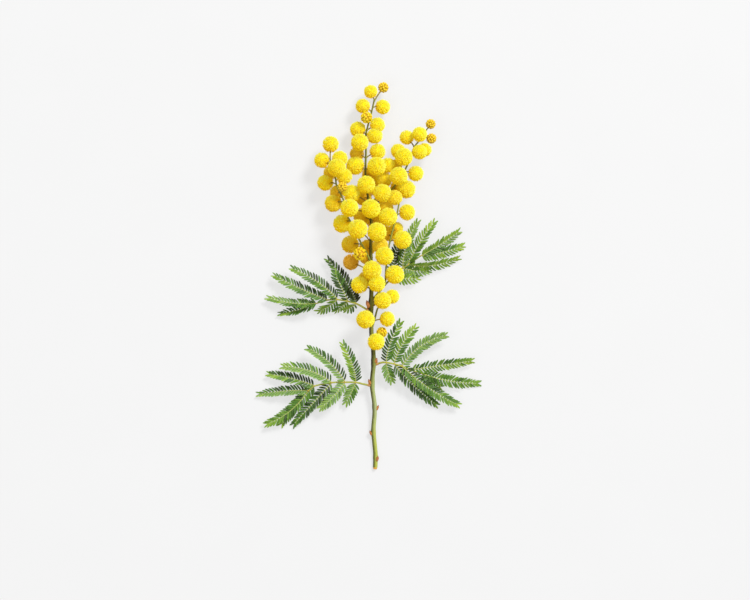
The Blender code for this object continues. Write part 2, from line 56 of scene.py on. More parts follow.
# The main stem lies on its cut end and arches up over the heads beneath it.
MAIN_STEM = [
    (3.0, -97.0, 1.0), (3.2, -91.0, 1.0), (2.6, -84.0, 1.4), (2.1, -78.0, 2.0), (2.7, -70.0, 2.9),
    (2.6, -64.5, 3.5), (1.6, -57.0, 4.4), (1.6, -51.5, 5.1), (2.2, -45.0, 6.2), (2.0, -37.2, 7.4),
    (1.2, -30.3, 8.4), (0.9, -17.3, 10.1), (1.1, -8.0, 10.9), (0.9, 8.0, 11.5), (0.8, 16.5, 11.6),
    (1.0, 26.5, 11.6), (-0.6, 39.0, 11.5), (-1.8, 50.0, 11.0), (-1.6, 61.5, 10.2), (-1.6, 70.0, 9.4),
    (-0.6, 75.0, 8.9), (1.1, 81.3, 8.1), (2.7, 88.5, 7.4),
]
# Radius of the main stem where its y is the first number.
MAIN_RADII = [(-97.0, 1.08), (-12.0, 1.05), (17.0, 0.72), (50.0, 0.5), (88.5, 0.36)]
CURVE_STEPS = 6  # steps of a smooth branch curve between two of its points
DRAWN_STEM = 1.06  # how much thicker than its solid the main stem is drawn
SWELLING = 0.16  # how much the main stem swells at a leaf, bud or branch
SWELLING_REACH = 1.3
FORKS = ("left", "upper_right", "right")  # the branches whose feet swell the main stem
BRANCH_FLARE = 0.35  # how much a branch widens at its foot
# The bevelled wood of the cut end: place along the stem and share of its radius.
CUT_PROFILE = [(-0.8, 0.66), (-0.35, 0.86), (0.3, 0.93)]
CUT_DENT = 0.2  # how far the middle of the cut face lies in
BARK_START = (0.16, 0.97)  # where the bark ends at the cut, as in that profile

# Flowering side branches: points, then the radius at the foot and at the tip.
BRANCHES = {
    "left": ([
        (0.9, 3.5, 11.4), (-0.1, 8.5, 13.0), (-4.9, 17.6, 14.0), (-8.7, 25.7, 14.4),
        (-10.7, 29.3, 14.4), (-12.8, 37.2, 14.0), (-16.2, 44.8, 13.0), (-17.1, 49.6, 12.4),
        (-19.3, 55.3, 12.0),
    ], 0.5, 0.38),
    "upper_right": ([
        (0.0, 36.0, 11.5), (6.4, 40.0, 11.0), (11.9, 43.5, 11.4), (15.9, 49.5, 11.5),
        (18.9, 54.5, 11.5), (21.4, 61.0, 11.0), (22.9, 64.5, 10.8), (26.4, 69.0, 10.3),
        (28.9, 73.0, 9.8),
    ], 0.5, 0.36),
    "right": ([
        (1.1, -13.0, 10.5), (5.4, -8.0, 9.9), (7.9, -4.0, 9.8), (8.4, 2.5, 10.2), (9.4, 11.5, 11.4),
        (11.4, 21.0, 12.4), (13.7, 29.5, 12.5), (15.4, 38.0, 12.2),
    ], 0.55, 0.38),
    "lower_right": ([
        (1.1, -28.0, 8.8), (2.9, -21.5, 10.6), (4.4, -16.5, 10.6), (7.0, -14.3, 10.3),
    ], 0.5, 0.42),
}

# Flower heads: number, then x, y, z of the middle and diameter, and for a head in the shade of others
# how far its yellow is painted ochre as shade. The heads settle from here.
HEADS = {
    1: (7.1, 94.2, 7.0, 5.5), 2: (1.1, 91.5, 8.0, 6.6), 3: (-3.2, 84.8, 8.0, 7.1),
    4: (6.8, 84.4, 7.0, 7.2), 5: (-1.3, 78.7, 12.5, 6.0), 6: (3.9, 75.7, 9.0, 7.4),
    7: (-5.7, 73.1, 8.0, 7.7), 8: (2.6, 69.2, 11.0, 7.6), 9: (-4.3, 65.7, 13.0, 8.5),
    10: (4.1, 62.0, 10.0, 7.7), 11: (-6.1, 60.6, 8.0, 7.0, 0.45), 12: (-6.4, 54.3, 12.0, 8.8),
    13: (3.2, 54.3, 15.0, 9.1), 14: (-1.1, 44.8, 17.0, 8.7), 15: (-19.3, 65.5, 11.0, 7.9),
    16: (-23.7, 57.5, 10.0, 7.5), 17: (-14.5, 58.6, 13.0, 7.7), 18: (-15.7, 52.9, 17.5, 8.8),
    19: (-19.3, 51.5, 8.0, 7.0, 0.3), 20: (-12.1, 49.8, 12.5, 7.8), 21: (-21.9, 46.0, 9.0, 7.8),
    22: (-12.8, 44.3, 17.0, 5.2), 23: (-9.2, 41.0, 14.0, 8.6), 24: (-16.2, 42.0, 7.0, 7.0, 0.35),
    25: (-18.1, 35.7, 9.0, 8.4, 0.2), 26: (-9.9, 33.3, 19.0, 8.8), 27: (-13.5, 25.7, 11.0, 8.8),
    28: (-5.2, 22.6, 19.5, 9.5), 29: (-9.5, 15.4, 8.0, 8.6, 0.3), 30: (-4.2, 10.6, 16.0, 6.8),
    31: (-9.2, 6.5, 8.5, 7.7, 1.0), 32: (1.3, 33.0, 17.5, 9.2), 33: (6.3, 40.5, 16.5, 8.8),
    34: (9.2, 28.5, 17.0, 8.9), 35: (3.7, 20.9, 17.5, 9.2), 36: (-4.0, 29.5, 6.5, 8.2, 0.4),
    37: (-2.8, 39.0, 3.3, 8.0, 0.4), 38: (7.3, 9.4, 16.5, 8.9), 39: (1.6, 2.8, 17.5, 9.2),
    40: (12.8, 0.2, 13.0, 9.0), 41: (-4.9, -5.0, 12.0, 8.3), 42: (3.9, -4.5, 17.0, 8.2),
    43: (6.5, -12.9, 15.5, 8.3), 44: (11.8, -10.7, 12.0, 7.0), 45: (-1.8, -22.2, 14.5, 8.8),
    46: (9.0, -22.0, 9.5, 7.4), 47: (6.3, -28.8, 8.0, 5.6), 48: (3.5, -33.4, 13.5, 8.2),
    49: (30.8, 75.7, 9.5, 5.2), 50: (31.2, 68.5, 8.5, 5.4), 51: (18.8, 68.9, 10.5, 7.0),
    52: (25.2, 70.2, 15.0, 7.3), 53: (28.1, 62.9, 9.5, 6.6), 54: (24.7, 61.3, 14.5, 7.3),
    55: (14.4, 62.2, 10.5, 7.1), 56: (17.6, 58.9, 15.5, 8.7), 57: (23.3, 50.8, 11.0, 7.6),
    58: (9.7, 54.8, 11.0, 7.3), 59: (14.7, 49.3, 17.0, 8.7), 60: (18.8, 42.4, 12.5, 8.8),
    61: (7.0, 47.7, 8.0, 7.9, 0.15), 62: (13.3, 54.4, 6.0, 7.0, 0.45), 63: (12.5, 38.1, 15.0, 7.4, 0.2),
    64: (18.5, 31.4, 12.0, 7.9), 65: (13.7, 23.3, 8.0, 6.5, 0.1), 66: (16.6, 17.6, 13.0, 8.9),
    67: (8.5, 34.3, 12.0, 8.0, 0.35), 68: (9.4, 20.9, 6.0, 7.5, 0.35), 69: (6.1, 15.2, 13.0, 7.5, 0.3),
    70: (13.7, 44.1, 7.5, 7.0, 0.3), 71: (-1.5, 8.5, 6.0, 6.5, 0.5), 72: (-1.6, -2.0, 7.0, 7.5, 0.5),
    73: (2.6, 28.0, 3.5, 8.4, 0.5), 74: (1.2, 44.2, 4.6, 8.0, 0.4), 75: (-0.8, 14.0, 3.3, 8.0, 0.4),
    76: (0.5, 50.5, 3.3, 8.0, 0.4),
}
BUD_HEADS = (1, 22, 49, 50)
HALF_OPEN_HEADS = (5, 30, 47)
# Heads that touch: each one presses on the next in its row.
TOUCHING = [
    (6, 8), (12, 11), (13, 58, 62), (17, 18, 20), (19, 21), (25, 24), (33, 63), (34, 67), (36, 73),
    (37, 74, 76), (38, 69), (39, 42), (41, 72), (43, 44), (54, 53), (56, 55), (60, 70), (65, 68),
    (71, 75),
]
PRESS_DEPTH = 1.6  # how far two touching heads sink into each other
SETTLED_GAP = CLEARANCE + 0.1
SETTLE_STEPS = 300
SIDEWAYS_SHIFT = 0.5  # the most a head moves sideways while it settles
FLAT_SPOT_DEPTH = 0.7  # what a resting head loses under itself

# Stalks whose foot is seen: head, branch and the y of the foot.
SEEN_FEET = {
    1: ("main", 88.0), 3: ("main", 81.5), 4: ("main", 82.5), 6: ("main", 70.5), 10: ("main", 57.5),
    23: ("main", 33.5), 26: ("main", 27.0), 28: ("main", 14.5), 31: ("main", -1.0), 35: ("main", 12.5),
    41: ("main", -8.5), 46: ("lower_right", -24.5), 66: ("right", 14.5),
}
FOOT_WINDOW = 2.0  # a seen foot may move this far along its branch
STALK_RADIUS = 0.38
DRAWN_STALK_RADIUS = 0.32
STALK_BEND = 0.2  # how far a stalk first follows its branch, as a share of its length
STALK_TIP = 0.62  # where a stalk ends, as a share of its head's radius
LONGEST_STALK = 14.0  # from the branch to the surface of the head
STALK_STEPS = 12
# What makes a stalk a worse choice: leaning back from the tip of its branch, and passing close to heads.
LEAN_COST = 3.0
SQUEEZE_COST = 40.0

# Buds on the main stem: y of the place, angle round the stem and length.
SCARS = [
    (-91.8, 52.0, 1.8), (-79.0, 160.0, 1.6), (-66.2, 10.0, 1.7), (-53.4, 150.0, 1.9),
    (-42.6, 30.0, 1.7), (-14.8, 155.0, 2.6),
]
# Buds, scales and glands: place along them and share of their radius.
BUD_PROFILE = [(0.0, 0.7), (0.2, 1.0), (0.45, 0.9), (0.7, 0.6), (0.9, 0.28), (1.0, 0.08)]
BUD_RADIUS = 0.42  # of a stem bud, as a share of its length
LOW_SCALE_RADIUS = 0.36  # of the scale under it, likewise
LEAF_BUD_RADIUS = 0.42
GLAND_RADIUS = 0.3

# The thick joint where a leaf leaves the stem: place along it and share of its radius.
JOINT_PROFILE = [(0.0, 0.55), (0.12, 0.9), (0.35, 1.0), (0.65, 0.85), (0.9, 0.62), (1.0, 0.5)]
JOINT_RADIUS = 0.74
JOINT_SINK = 1.0  # how far a leaf's joint starts inside the stem
JOINT_LENGTH = 2.6

# Leaves: rachis points, then pinnae. A pinna has the rachis point that it grows from, its middle, its
# tip, its roll and the tones of its left and right rows of leaflets, seen from its foot.
LEAVES = {
    "leaf_lower_left": ([
        (0.1, -55.4, 5.0), (-3.6, -54.6, 5.6), (-6.8, -53.9, 6.0), (-12.0, -53.8, 6.2),
        (-18.7, -54.0, 6.0), (-27.3, -55.7, 5.2), (-30.5, -58.0, 4.8),
    ], [
        (2, (-8.4, -45.0, 8.0), (-13.7, -33.5, 8.6), 10, "fresh dark"),
        (3, (-20.5, -43.4, 7.6), (-31.3, -36.5, 6.6), 20, "pale dark"),
        (4, (-30.5, -47.9, 6.4), (-44.6, -46.0, 4.6), 20, "pale mid"),
        (5, (-39.0, -52.0, 3.9), (-51.5, -49.7, 1.8), 30, "mid dark"),
        (6, (-43.0, -58.4, 2.9), (-56.4, -60.2, 0.7), 35, "pale dark"),
        (2, (-8.8, -58.8, 4.8), (-11.6, -64.4, 3.2), 10, "mid pale"),
        (3, (-18.0, -61.0, 6.4), (-24.6, -67.0, 5.4), 10, "pale pale"),
        (4, (-28.8, -65.0, 3.8), (-39.0, -76.2, 0.7), 15, "dark dark"),
        (5, (-36.5, -65.0, 1.9), (-44.9, -76.1, 0.5), 0, "mid mid"),
        (6, (-40.5, -68.9, 4.4), (-52.4, -75.2, 2.8), 10, "mid mid"),
    ]),
    "leaf_lower_right": ([
        (3.7, -44.7, 6.2), (6.4, -43.9, 6.8), (8.5, -43.9, 7.2), (12.5, -44.6, 7.5), (16.3, -45.7, 7.3),
        (20.8, -47.6, 6.6), (26.3, -49.3, 5.6),
    ], [
        (2, (10.6, -34.0, 9.0), (16.1, -22.7, 9.6), 10, "dark mid"),
        (3, (16.6, -34.8, 8.6), (23.8, -25.8, 8.4), -10, "fresh mid"),
        (4, (26.5, -35.2, 7.6), (39.4, -30.0, 5.8), 15, "pale pale"),
        (5, (37.0, -45.2, 6.0), (52.8, -43.0, 3.6), 25, "mid fresh"),
        (6, (40.8, -53.3, 3.4), (56.4, -54.5, 0.7), 10, "mid mid"),
        (2, (9.5, -48.6, 5.8), (11.2, -53.3, 4.2), 0, "mid pale"),
        (3, (22.9, -56.0, 4.2), (34.8, -66.0, 0.5), -10, "dark dark"),
        (4, (31.0, -57.4, 6.0), (45.9, -65.8, 3.0), -10, "dark mid"),
        (6, (30.8, -53.6, 3.6), (35.8, -56.2, 2.0), 0, "mid mid"),
    ]),
    "leaf_upper_left": ([
        (-0.6, -17.6, 10.0), (-4.3, -15.4, 9.2), (-6.6, -14.3, 8.6), (-10.5, -13.2, 8.0),
        (-15.8, -12.3, 7.4), (-20.6, -12.5, 6.8), (-26.1, -14.1, 6.0),
    ], [
        (2, (-11.7, -3.5, 5.8), (-22.1, 9.2, 2.8), 15, "dark black"),
        (3, (-14.0, -5.9, 8.4), (-17.3, 1.4, 8.0), 10, "dark dark"),
        (4, (-26.0, -3.4, 8.0), (-39.9, 3.9, 6.0), 25, "mid dark"),
        (5, (-34.0, -7.0, 6.2), (-49.1, 0.5, 4.0), 25, "mid dark"),
        (6, (-38.4, -14.2, 4.4), (-51.9, -11.2, 2.2), 45, "mid pale"),
        (2, (-9.2, -16.3, 6.0), (-12.0, -17.6, 3.6), -30, "mid fresh"),
        (3, (-13.6, -15.6, 5.2), (-16.8, -18.0, 2.6), -40, "fresh mid"),
        (4, (-20.6, -15.8, 5.0), (-25.4, -18.2, 2.2), -40, "mid fresh"),
        (6, (-35.0, -17.3, 2.9), (-45.1, -19.4, 0.6), 45, "mid dark"),
    ]),
    "leaf_upper_right": ([
        (2.5, -14.6, 8.7), (4.6, -9.5, 7.5), (7.9, -5.0, 7.0), (12.4, -0.6, 6.7), (16.8, 3.5, 6.5),
        (19.4, 5.1, 6.5), (25.9, 9.7, 6.3),
    ], [
        (3, (13.0, 9.0, 5.0), (16.2, 17.0, 3.2), 0, "dark black"),
        (4, (19.0, 15.6, 6.8), (24.8, 27.5, 4.8), -20, "mid pale"),
        (5, (25.0, 15.6, 7.4), (33.6, 27.7, 6.0), -20, "fresh mid"),
        (6, (35.4, 15.2, 6.2), (45.7, 22.4, 4.4), 30, "fresh pale"),
        (6, (36.5, 11.4, 3.4), (47.9, 15.0, 0.5), 20, "mid fresh"),
        (5, (32.5, 5.0, 4.6), (45.6, 8.9, 2.4), 40, "fresh fresh"),
        (4, (23.0, 2.3, 4.4), (30.3, 2.4, 2.8), 15, "mid pale"),
        (3, (18.0, -1.8, 4.8), (24.7, -1.5, 2.2), 15, "fresh fresh"),
    ]),
}
# How green the leaflets are. A row in the shade under the heads is painted almost black as shadow, and the
# tones of the other rows are partly their own green and partly painted light, from how the light falls on
# each row.
# A pale row is turned over and shows its underside.
TONES = {"black": 0.03, "dark": 0.24, "mid": 0.46, "fresh": 0.66, "pale": 0.5}
TONE_SPREAD = 0.1
TIP_FRESHNESS = 0.28  # how much paler green a pinna's last leaflets are

RACHIS_RADIUS = 0.52
RACHIS_TIP_RADIUS = 0.36
RIB_RADIUS = 0.24
RIB_TIP_RADIUS = 0.13
RIB_STEPS = 24
RIB_LOWEST = 0.25
RIB_END = 0.92  # where the last leaflets start, as a share of the pinna's length
BARE_RIB = 1.3  # length of a pinna's foot that has no leaflets

LEAFLET_LENGTH = 4.3
LEAFLET_WIDTH = 1.16
LEAFLET_THICKNESS = 0.14
LEAFLET_PITCH = 1.62  # along the rib, from one pair of leaflets to the next
PALE_WIDENING = 1.1  # a row that shows its flat underside looks wider
FEET_UNDER_RIB = 0.14  # how far under the middle of its rib a leaflet starts
FEET_APART = 0.04
LEAFLET_ANGLE = 62.0  # between rib and leaflet, in degrees
ANGLE_SPREAD = 2.4
LEAFLET_LIFT = 13.0  # how far a row tilts up, in degrees
LEAFLET_TWIST = 16.0  # how far a leaflet turns about its own midrib, in degrees
TILT_SPREAD = 6.0
LEAFLET_CURVE = 0.1  # how far a leaflet's tip bends to the pinna's tip, as a share of its length
TIP_DROOP = 0.07  # how far it droops, likewise
EDGE_RISE = 0.3  # how steeply the halves of a leaflet rise from its midrib
# Half outline of a leaflet: place along it and share of its width.
LEAFLET_OUTLINE = [
    (0.0, 0.6), (0.08, 0.84), (0.25, 0.96), (0.5, 1.0), (0.72, 0.9), (0.87, 0.66), (0.96, 0.34),
]

# Inside a head, a length is a share of the head's radius.
FLORETS_IN_HEAD = 32
OPEN_HEART = 0.84  # how far out the florets reach under their stamens
FLORET_DOME = 0.07  # how much of the heart's radius is its domes
STALK_PARTING = 12.0  # degrees round the stalk that have no stamens
STAMENS_PER_SQUARE_MM = 5.6
STAMEN_RADIUS = 0.14  # in millimetres, where it is widest
STAMEN_BELLY = 0.93  # where a stamen is widest, as a share of its length
STAMEN_REACH = 1.03
REACH_SPREAD = 0.02
LONG_STAMEN = 0.08  # how much further the long ones reach
LONG_STAMEN_SHARE = 0.22
LONGEST_STAMEN = 1.1
STAMEN_ROOT = 0.6
ROOT_GATHER = 0.55  # how far the roots of a floret's stamens draw together
TIP_GATHER = 0.05
AIM_SPREAD = 0.035
SHADE_SPREAD = 0.15
PAINTED_SHADE_SIDE = np.array([-0.45, -0.78, -0.43])  # painted shade: the side of every head away from the key lamp

HALF_OPEN_FLORETS = 36
HALF_OPEN_HEART = 0.78
HALF_OPEN_RING = 0.74  # where the middles of its florets are
OPENING_ROOT = 0.72
OPENING_STAMENS = 14  # in each of its florets
FLORETS_IN_BUD = 44
BUD_HEART = 0.7
BUD_RING = 0.73
BUD_LOBES = 0.12  # how deep the five lobes of a floret bud are
FLORET_STRETCH = 1.12
FLORET_ROUNDNESS = (10, 6)  # corners round a ball, and rows of them from pole to pole
HEART_ROUNDNESS = (36, 20)

# Which finish a triangle has, in the order that main gives them to a piece.
STAMENS, CUPS, GAPS, BUDS = range(4)
BARK, WOOD, SCALES, JOINTS = range(4)
FACES, BACKS, RIBS, GLANDS = range(4)

# Colours are written as the eye reads them, from 0 to 255.
# LEMON is a painted highlight on the side of the heads lit by the key lamp. GOLD is the roots of the stamens
# and painted shade on the other side, and OCHRE and BROWN_GOLD are fading stamens together with painted
# shade.
LEMON = (221, 228, 104)
YELLOW = (228, 220, 19)
GOLD = (231, 198, 10)
OCHRE = (220, 176, 62)
BROWN_GOLD = (164, 114, 44)
PETAL_GLOW = (108, 88, 0)  # painted glow: yellow light that the stamens give off of their own, in place of light passing through them, which lifts their shadows
# the weaker painted glow of fading stamens and of those in painted shade
OCHRE_GLOW = (70, 44, 8)
FLOOR_GLOW = (245, 245, 245)
FLOOR_GLOW_SHARE = 0.7  # how much of the floor's light is its own

FLOOR_HALF = 1500.0
SPRIG_MIDDLE = Vector((0.0, 0.0, 0.01))
SKY_STRENGTH = 0.56
KEY_POWER = 74.0
FILL_POWER = 3.0
CAMERA_HEIGHT = 1500.0
IN_VIEW_HEIGHT = 13.0  # the height that the view's width is measured at
VIEW_WIDTH = 375.0
VIEW_MIDDLE = (2.925, -12.5)


def spline(points, steps):
    """Points of a smooth curve through the given ones, with this many steps between neighbours."""
    points = [Vector(point) for point in points]
    padded = [2 * points[0] - points[1]] + points + [2 * points[-1] - points[-2]]
    curve = []
    for before, start, end, after in zip(padded, padded[1:], padded[2:], padded[3:]):
        for step in range(steps):
            t = step / steps
            curve.append(
                start
                + 0.5 * t * (end - before)
                + t * t * (before - 2.5 * start + 2 * end - 0.5 * after)
                + 0.5 * t**3 * (after - before + 3 * (start - end))
            )
    return curve + [points[-1]]


def bezier(start, control, end, t):
    return (1 - t) ** 2 * start + 2 * t * (1 - t) * control + t * t * end


def between(table, value):
    """Reads a table of (place, amount) at a place between its rows."""
    for (low, first), (high, second) in zip(table, table[1:]):
        if value <= high:
            share = max(0.0, (value - low) / (high - low))
            return first + (second - first) * share
    return table[-1][1]


def tapered(points, foot, tip):
    """A list of (point, radius) whose radius goes evenly from foot to tip."""
    last = len(points) - 1
    return [(Vector(p), foot + (tip - foot) * i / last) for i, p in enumerate(points)]


def branch_curves():
    """Each branch as a list of (point, radius), about a millimetre apart."""
    curves = {"main": [(p, between(MAIN_RADII, p.y)) for p in spline(MAIN_STEM, CURVE_STEPS)]}
    for name, (points, foot, tip) in BRANCHES.items():
        curves[name] = tapered(spline(points, CURVE_STEPS), foot, tip)
    return curves


class Head:
    """One flower head: where it started, where it is now, its radius and how far its yellow is painted ochre
    as shade.
    """

    def __init__(self, x, y, z, diameter, age_and_shade=0.0):
        self.start = Vector((x, y, z))
        self.middle = self.start.copy()
        self.radius = diameter / 2
        self.age_and_shade = age_and_shade

    def keep_in_place(self):
        for axis in (0, 1):
            low = self.start[axis] - SIDEWAYS_SHIFT
            high = self.start[axis] + SIDEWAYS_SHIFT
            self.middle[axis] = min(max(self.middle[axis], low), high)
        self.middle.z = max(self.middle.z, self.radius - FLAT_SPOT_DEPTH)


def settle(heads, curves):
    """Moves the heads off one another and off the branches, and touching ones together."""
    touching = {frozenset(pair) for row in TOUCHING for pair in zip(row, row[1:])}
    pairs = [(heads[a], heads[b], frozenset((a, b)) in touching) for a, b in combinations(heads, 2)]
    twigs = [place for curve in curves.values() for place in curve]
    for _ in range(SETTLE_STEPS):
        for first, second, pressed in pairs:
            apart = second.middle - first.middle
            wanted = first.radius + second.radius + (-PRESS_DEPTH if pressed else SETTLED_GAP)
            if apart.length < wanted or pressed:
                push = 0.5 * (wanted - apart.length) * apart.normalized()
                first.middle -= push
                second.middle += push
        for head in heads.values():
            for point, radius in twigs:
                apart = head.middle - point
                wanted = head.radius + radius + SETTLED_GAP
                if apart.length < wanted:
                    head.middle += (wanted - apart.length) * apart.normalized()
            head.keep_in_place()


class Stalk:
    """The thin stalk of a head: a bent line from its foot on a branch into the head."""

    def __init__(self, foot, forward, head):
        self.foot = foot
        self.control = foot + STALK_BEND * (head.middle - foot).length * forward
        self.entry = (self.control - head.middle).normalized()
        self.end = head.middle + STALK_TIP * head.radius * self.entry

    def at(self, t):
        return bezier(self.foot, self.control, self.end, t)

    def squeeze(self, heads, own):
        """How far the stalk comes too near to heads: 0 for a clear way."""
        total = 0.0
        for step in range(STALK_STEPS + 1):
            point = self.at(step / STALK_STEPS)
            for number, head in heads.items():
                distance = (point - head.middle).length
                room = head.radius + STALK_RADIUS + CLEARANCE
                if number == own:
                    room = head.radius if step < STALK_STEPS / 2 else 0.0
                total += max(0.0, room - distance)
        return total


def feet_of(number, curves):
    """The places on the branches where a head's stalk may start, as (point, forward)."""
    branch, height = SEEN_FEET.get(number, (None, None))
    for name, curve in curves.items():
        if branch not in (None, name):
            continue
        for (point, _), (after, _) in zip(curve, curve[1:]):
            if branch is None or abs(point.y - height) < FOOT_WINDOW:
                yield point, (after - point).normalized()


def choose_stalk(number, heads, curves):
    """The shortest clear stalk that leans towards the tip of its branch."""
    head = heads[number]
    best = None
    for foot, forward in feet_of(number, curves):
        reach = head.middle - foot
        if reach.length > head.radius + LONGEST_STALK:
            continue
        stalk = Stalk(foot, forward, head)
        lean = 1 - forward.dot(reach.normalized())
        cost = reach.length + LEAN_COST * lean + SQUEEZE_COST * stalk.squeeze(heads, number)
        if best is None or cost < best[0]:
            best = (cost, stalk)
    return best[1]


def head_node_name(row):
    numbers = "_".join(f"{number:02d}" for number in row)
    if row[0] in BUD_HEADS:
        return "bud_" + numbers
    if row[0] in HALF_OPEN_HEADS:
        return "half_open_" + numbers
    return ("head_" if len(row) == 1 else "heads_") + numbers


def unit(vectors):
    """Vectors of length 1 in the same directions."""
    return vectors / np.linalg.norm(vectors, axis=-1, keepdims=True)


def spread(count, draw):
    """Directions spread evenly over a ball along a golden-angle spiral, in a random turn."""
    step = np.arange(count) + 0.5
    height = 1 - 2 * step / count
    turn = step * math.pi * (3 - math.sqrt(5))
    flat = np.sqrt(1 - height**2)
    spiral = np.stack([flat * np.cos(turn), flat * np.sin(turn), height], 1)
    turned = Quaternion(draw.normal(size=4)).normalized().to_matrix()
    return spiral @ np.array(turned)


def on_surface(corners):
    """Lifts the corners that are under the surface onto it."""
    corners[..., 2] = np.maximum(corners[..., 2], LOWEST)
    return corners


class Growth:
    """The shapes of one piece. Each corner has a place and three numbers that its finish reads. Each
    triangle has a finish and a tile of the piece's map, so that thousands of small parts share one map."""

    def __init__(self):
        self.points = []
        self.numbers = []
        self.triangles = []
        self.finishes = []
        self.spots = []
        self.tiles = []
        self.corner_count = 0
        self.tile_count = 0

    def add(self, shapes, triangles, numbers, spots, finish, tile=0):
        """Adds copies of a shape. shapes is [copy, corner, 3], each of the three numbers is one or an
        array that fits [copy, corner], and spots is [corner, 2] or [triangle, 3, 2]. finish and tile are
        one number or one for each triangle."""
        copies, corners, _ = shapes.shape
        count = len(triangles)
        tile = np.broadcast_to(tile, count)
        spots = spots[triangles] if spots.ndim == 2 else spots
        copy = np.arange(copies)[:, None]
        shifted = triangles[None] + (self.corner_count + corners * copy)[:, :, None]
        self.points.append(shapes.reshape(-1, 3))
        columns = [np.broadcast_to(number, (copies, corners)) for number in numbers]
        self.numbers.append(np.stack(columns, -1).reshape(-1, 3))
        self.triangles.append(shifted.reshape(-1, 3))
        self.finishes.append(np.tile(np.broadcast_to(finish, count), copies))
        self.spots.append(np.tile(spots, (copies, 1, 1)))
        tiles = tile.max() + 1
        self.tiles.append((tile[None] + self.tile_count + tiles * copy).ravel())
        self.corner_count += copies * corners
        self.tile_count += copies * tiles

    def map_places(self):
        """Where each corner of each triangle lies on the map, from 0 to 1."""
        across = math.ceil(math.sqrt(self.tile_count))
        tiles = np.concatenate(self.tiles)
        corner = np.stack([tiles % across, tiles // across], 1)[:, None]
        spots = MAP_MARGIN + (1 - 2 * MAP_MARGIN) * np.concatenate(self.spots)
        return (corner + spots) / across


def make_piece(name, growth, finishes, node):
    """Makes the mesh and puts it in the place of its solid."""
    triangles = np.concatenate(growth.triangles)
    points = np.concatenate(growth.points) * MM
    mesh = bpy.data.meshes.new(name)
    mesh.vertices.add(len(points))
    mesh.vertices.foreach_set("co", points.ravel())
    mesh.loops.add(triangles.size)
    mesh.polygons.add(len(triangles))
    mesh.polygons.foreach_set("loop_start", np.arange(0, triangles.size, 3))
    mesh.polygons.foreach_set("vertices", triangles.ravel())
    mesh.polygons.foreach_set("material_index", np.concatenate(growth.finishes))
    mesh.update(calc_edges=True)
    mesh.shade_smooth()
    mesh.set_sharp_from_angle(angle=math.radians(SHARP_ANGLE))
    numbers = mesh.attributes.new("growth", "FLOAT_VECTOR", "POINT")
    numbers.data.foreach_set("vector", np.concatenate(growth.numbers).ravel())
    places = mesh.uv_layers.new(name="OFBake")
    places.uv.foreach_set("vector", growth.map_places().ravel())
    for finish in finishes:
        mesh.materials.append(finish)
    piece = bpy.data.objects.new(name, mesh)
    bpy.context.scene.collection.objects.link(piece)
    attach(piece, "root")
    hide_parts(node)


def tube_triangles(rings, sides):
    """Triangles of a tube with a middle corner at each end, the tile of each triangle, one for each
    stretch between rings, and the spots of its corners on that tile."""
    first_end, last = rings * sides, (rings - 1) * sides
    made = []
    for side in range(sides):
        after = (side + 1) % sides
        u, v = [1 - abs(1 - 2 * corner / sides) for corner in (side, after)]
        made.append(((after, side, first_end), 0, ((v, 0), (u, 0), (0.5, 0.5))))
        made.append(((last + side, last + after, first_end + 1), rings - 2, ((u, 1), (v, 1), (0.5, 0.5))))
        for ring in range(rings - 1):
            low, high = ring * sides, (ring + 1) * sides
            made.append(((low + side, low + after, high + after), ring, ((u, 0), (v, 0), (v, 1))))
            made.append(((low + side, high + after, high + side), ring, ((u, 0), (v, 1), (u, 1))))
    triangles, tiles, spots = zip(*made)
    return np.array(triangles), np.array(tiles), np.array(spots, float)


def add_tube(growth, path, sides, kind, finish, dent=0.0):
    """A smooth round bar along a list of (point, radius). Its numbers are how far along it is, how
    much it faces +X, and its kind. dent moves the middle of its first end along the bar."""
    points = [point for point, _ in path]
    corners = []
    numbers = []
    side = Vector((1, 0, 0))
    for i, (point, radius) in enumerate(path):
        along = (points[min(i + 1, len(points) - 1)] - points[max(i - 1, 0)]).normalized()
        side = (side - along * side.dot(along)).normalized()
        up = along.cross(side)
        for corner in range(sides):
            angle = 2 * math.pi * corner / sides
            outward = math.cos(angle) * side + math.sin(angle) * up
            corners.append(point + radius * outward)
            numbers.append((i / (len(path) - 1), 0.5 + 0.5 * outward.x, kind))
    first = (points[1] - points[0]).normalized()
    corners += [points[0] + dent * first, points[-1]]
    numbers += [(0, 0.5, kind), (1, 0.5, kind)]
    triangles, tiles, spots = tube_triangles(len(path), sides)
    shapes = on_surface(np.array([tuple(corner) for corner in corners])[None])
    growth.add(shapes, triangles, np.array(numbers).T, spots, finish, tiles)


def globe(around, rows):
    """Corners of a ball of radius 1 with its pole along +Z, its triangles and spots."""
    corners = [(0.0, 0.0, 1.0)]
    spots = [(0.5, 1.0)]
    for row in range(1, rows):
        polar = math.pi * row / rows
        for corner in range(around):
            angle = 2 * math.pi * corner / around
            flat = math.sin(polar)
            corners.append((flat * math.cos(angle), flat * math.sin(angle), math.cos(polar)))
            spots.append((1 - abs(1 - 2 * corner / around), 1 - row / rows))
    corners.append((0.0, 0.0, -1.0))
    spots.append((0.5, 0.0))
    triangles = []
    for corner in range(around):
        after = (corner + 1) % around
        triangles.append((0, 1 + corner, 1 + after))
        for low in range(1, 1 + (rows - 2) * around, around):
            triangles.append((low + corner, low + around + corner, low + around + after))
            triangles.append((low + corner, low + around + after, low + after))
        last = 1 + (rows - 2) * around
        triangles.append((last + corner, len(corners) - 1, last + after))
    return np.array(corners), np.array(triangles), np.array(spots)


def frames_of(aims):
    """Two directions square to each aim, as arrays."""
    helper = np.where(np.abs(aims[:, 2:]) < 0.9, [[0.0, 0.0, 1.0]], [[1.0, 0.0, 0.0]])
    side = unit(np.cross(helper, aims))
    return side, np.cross(aims, side)


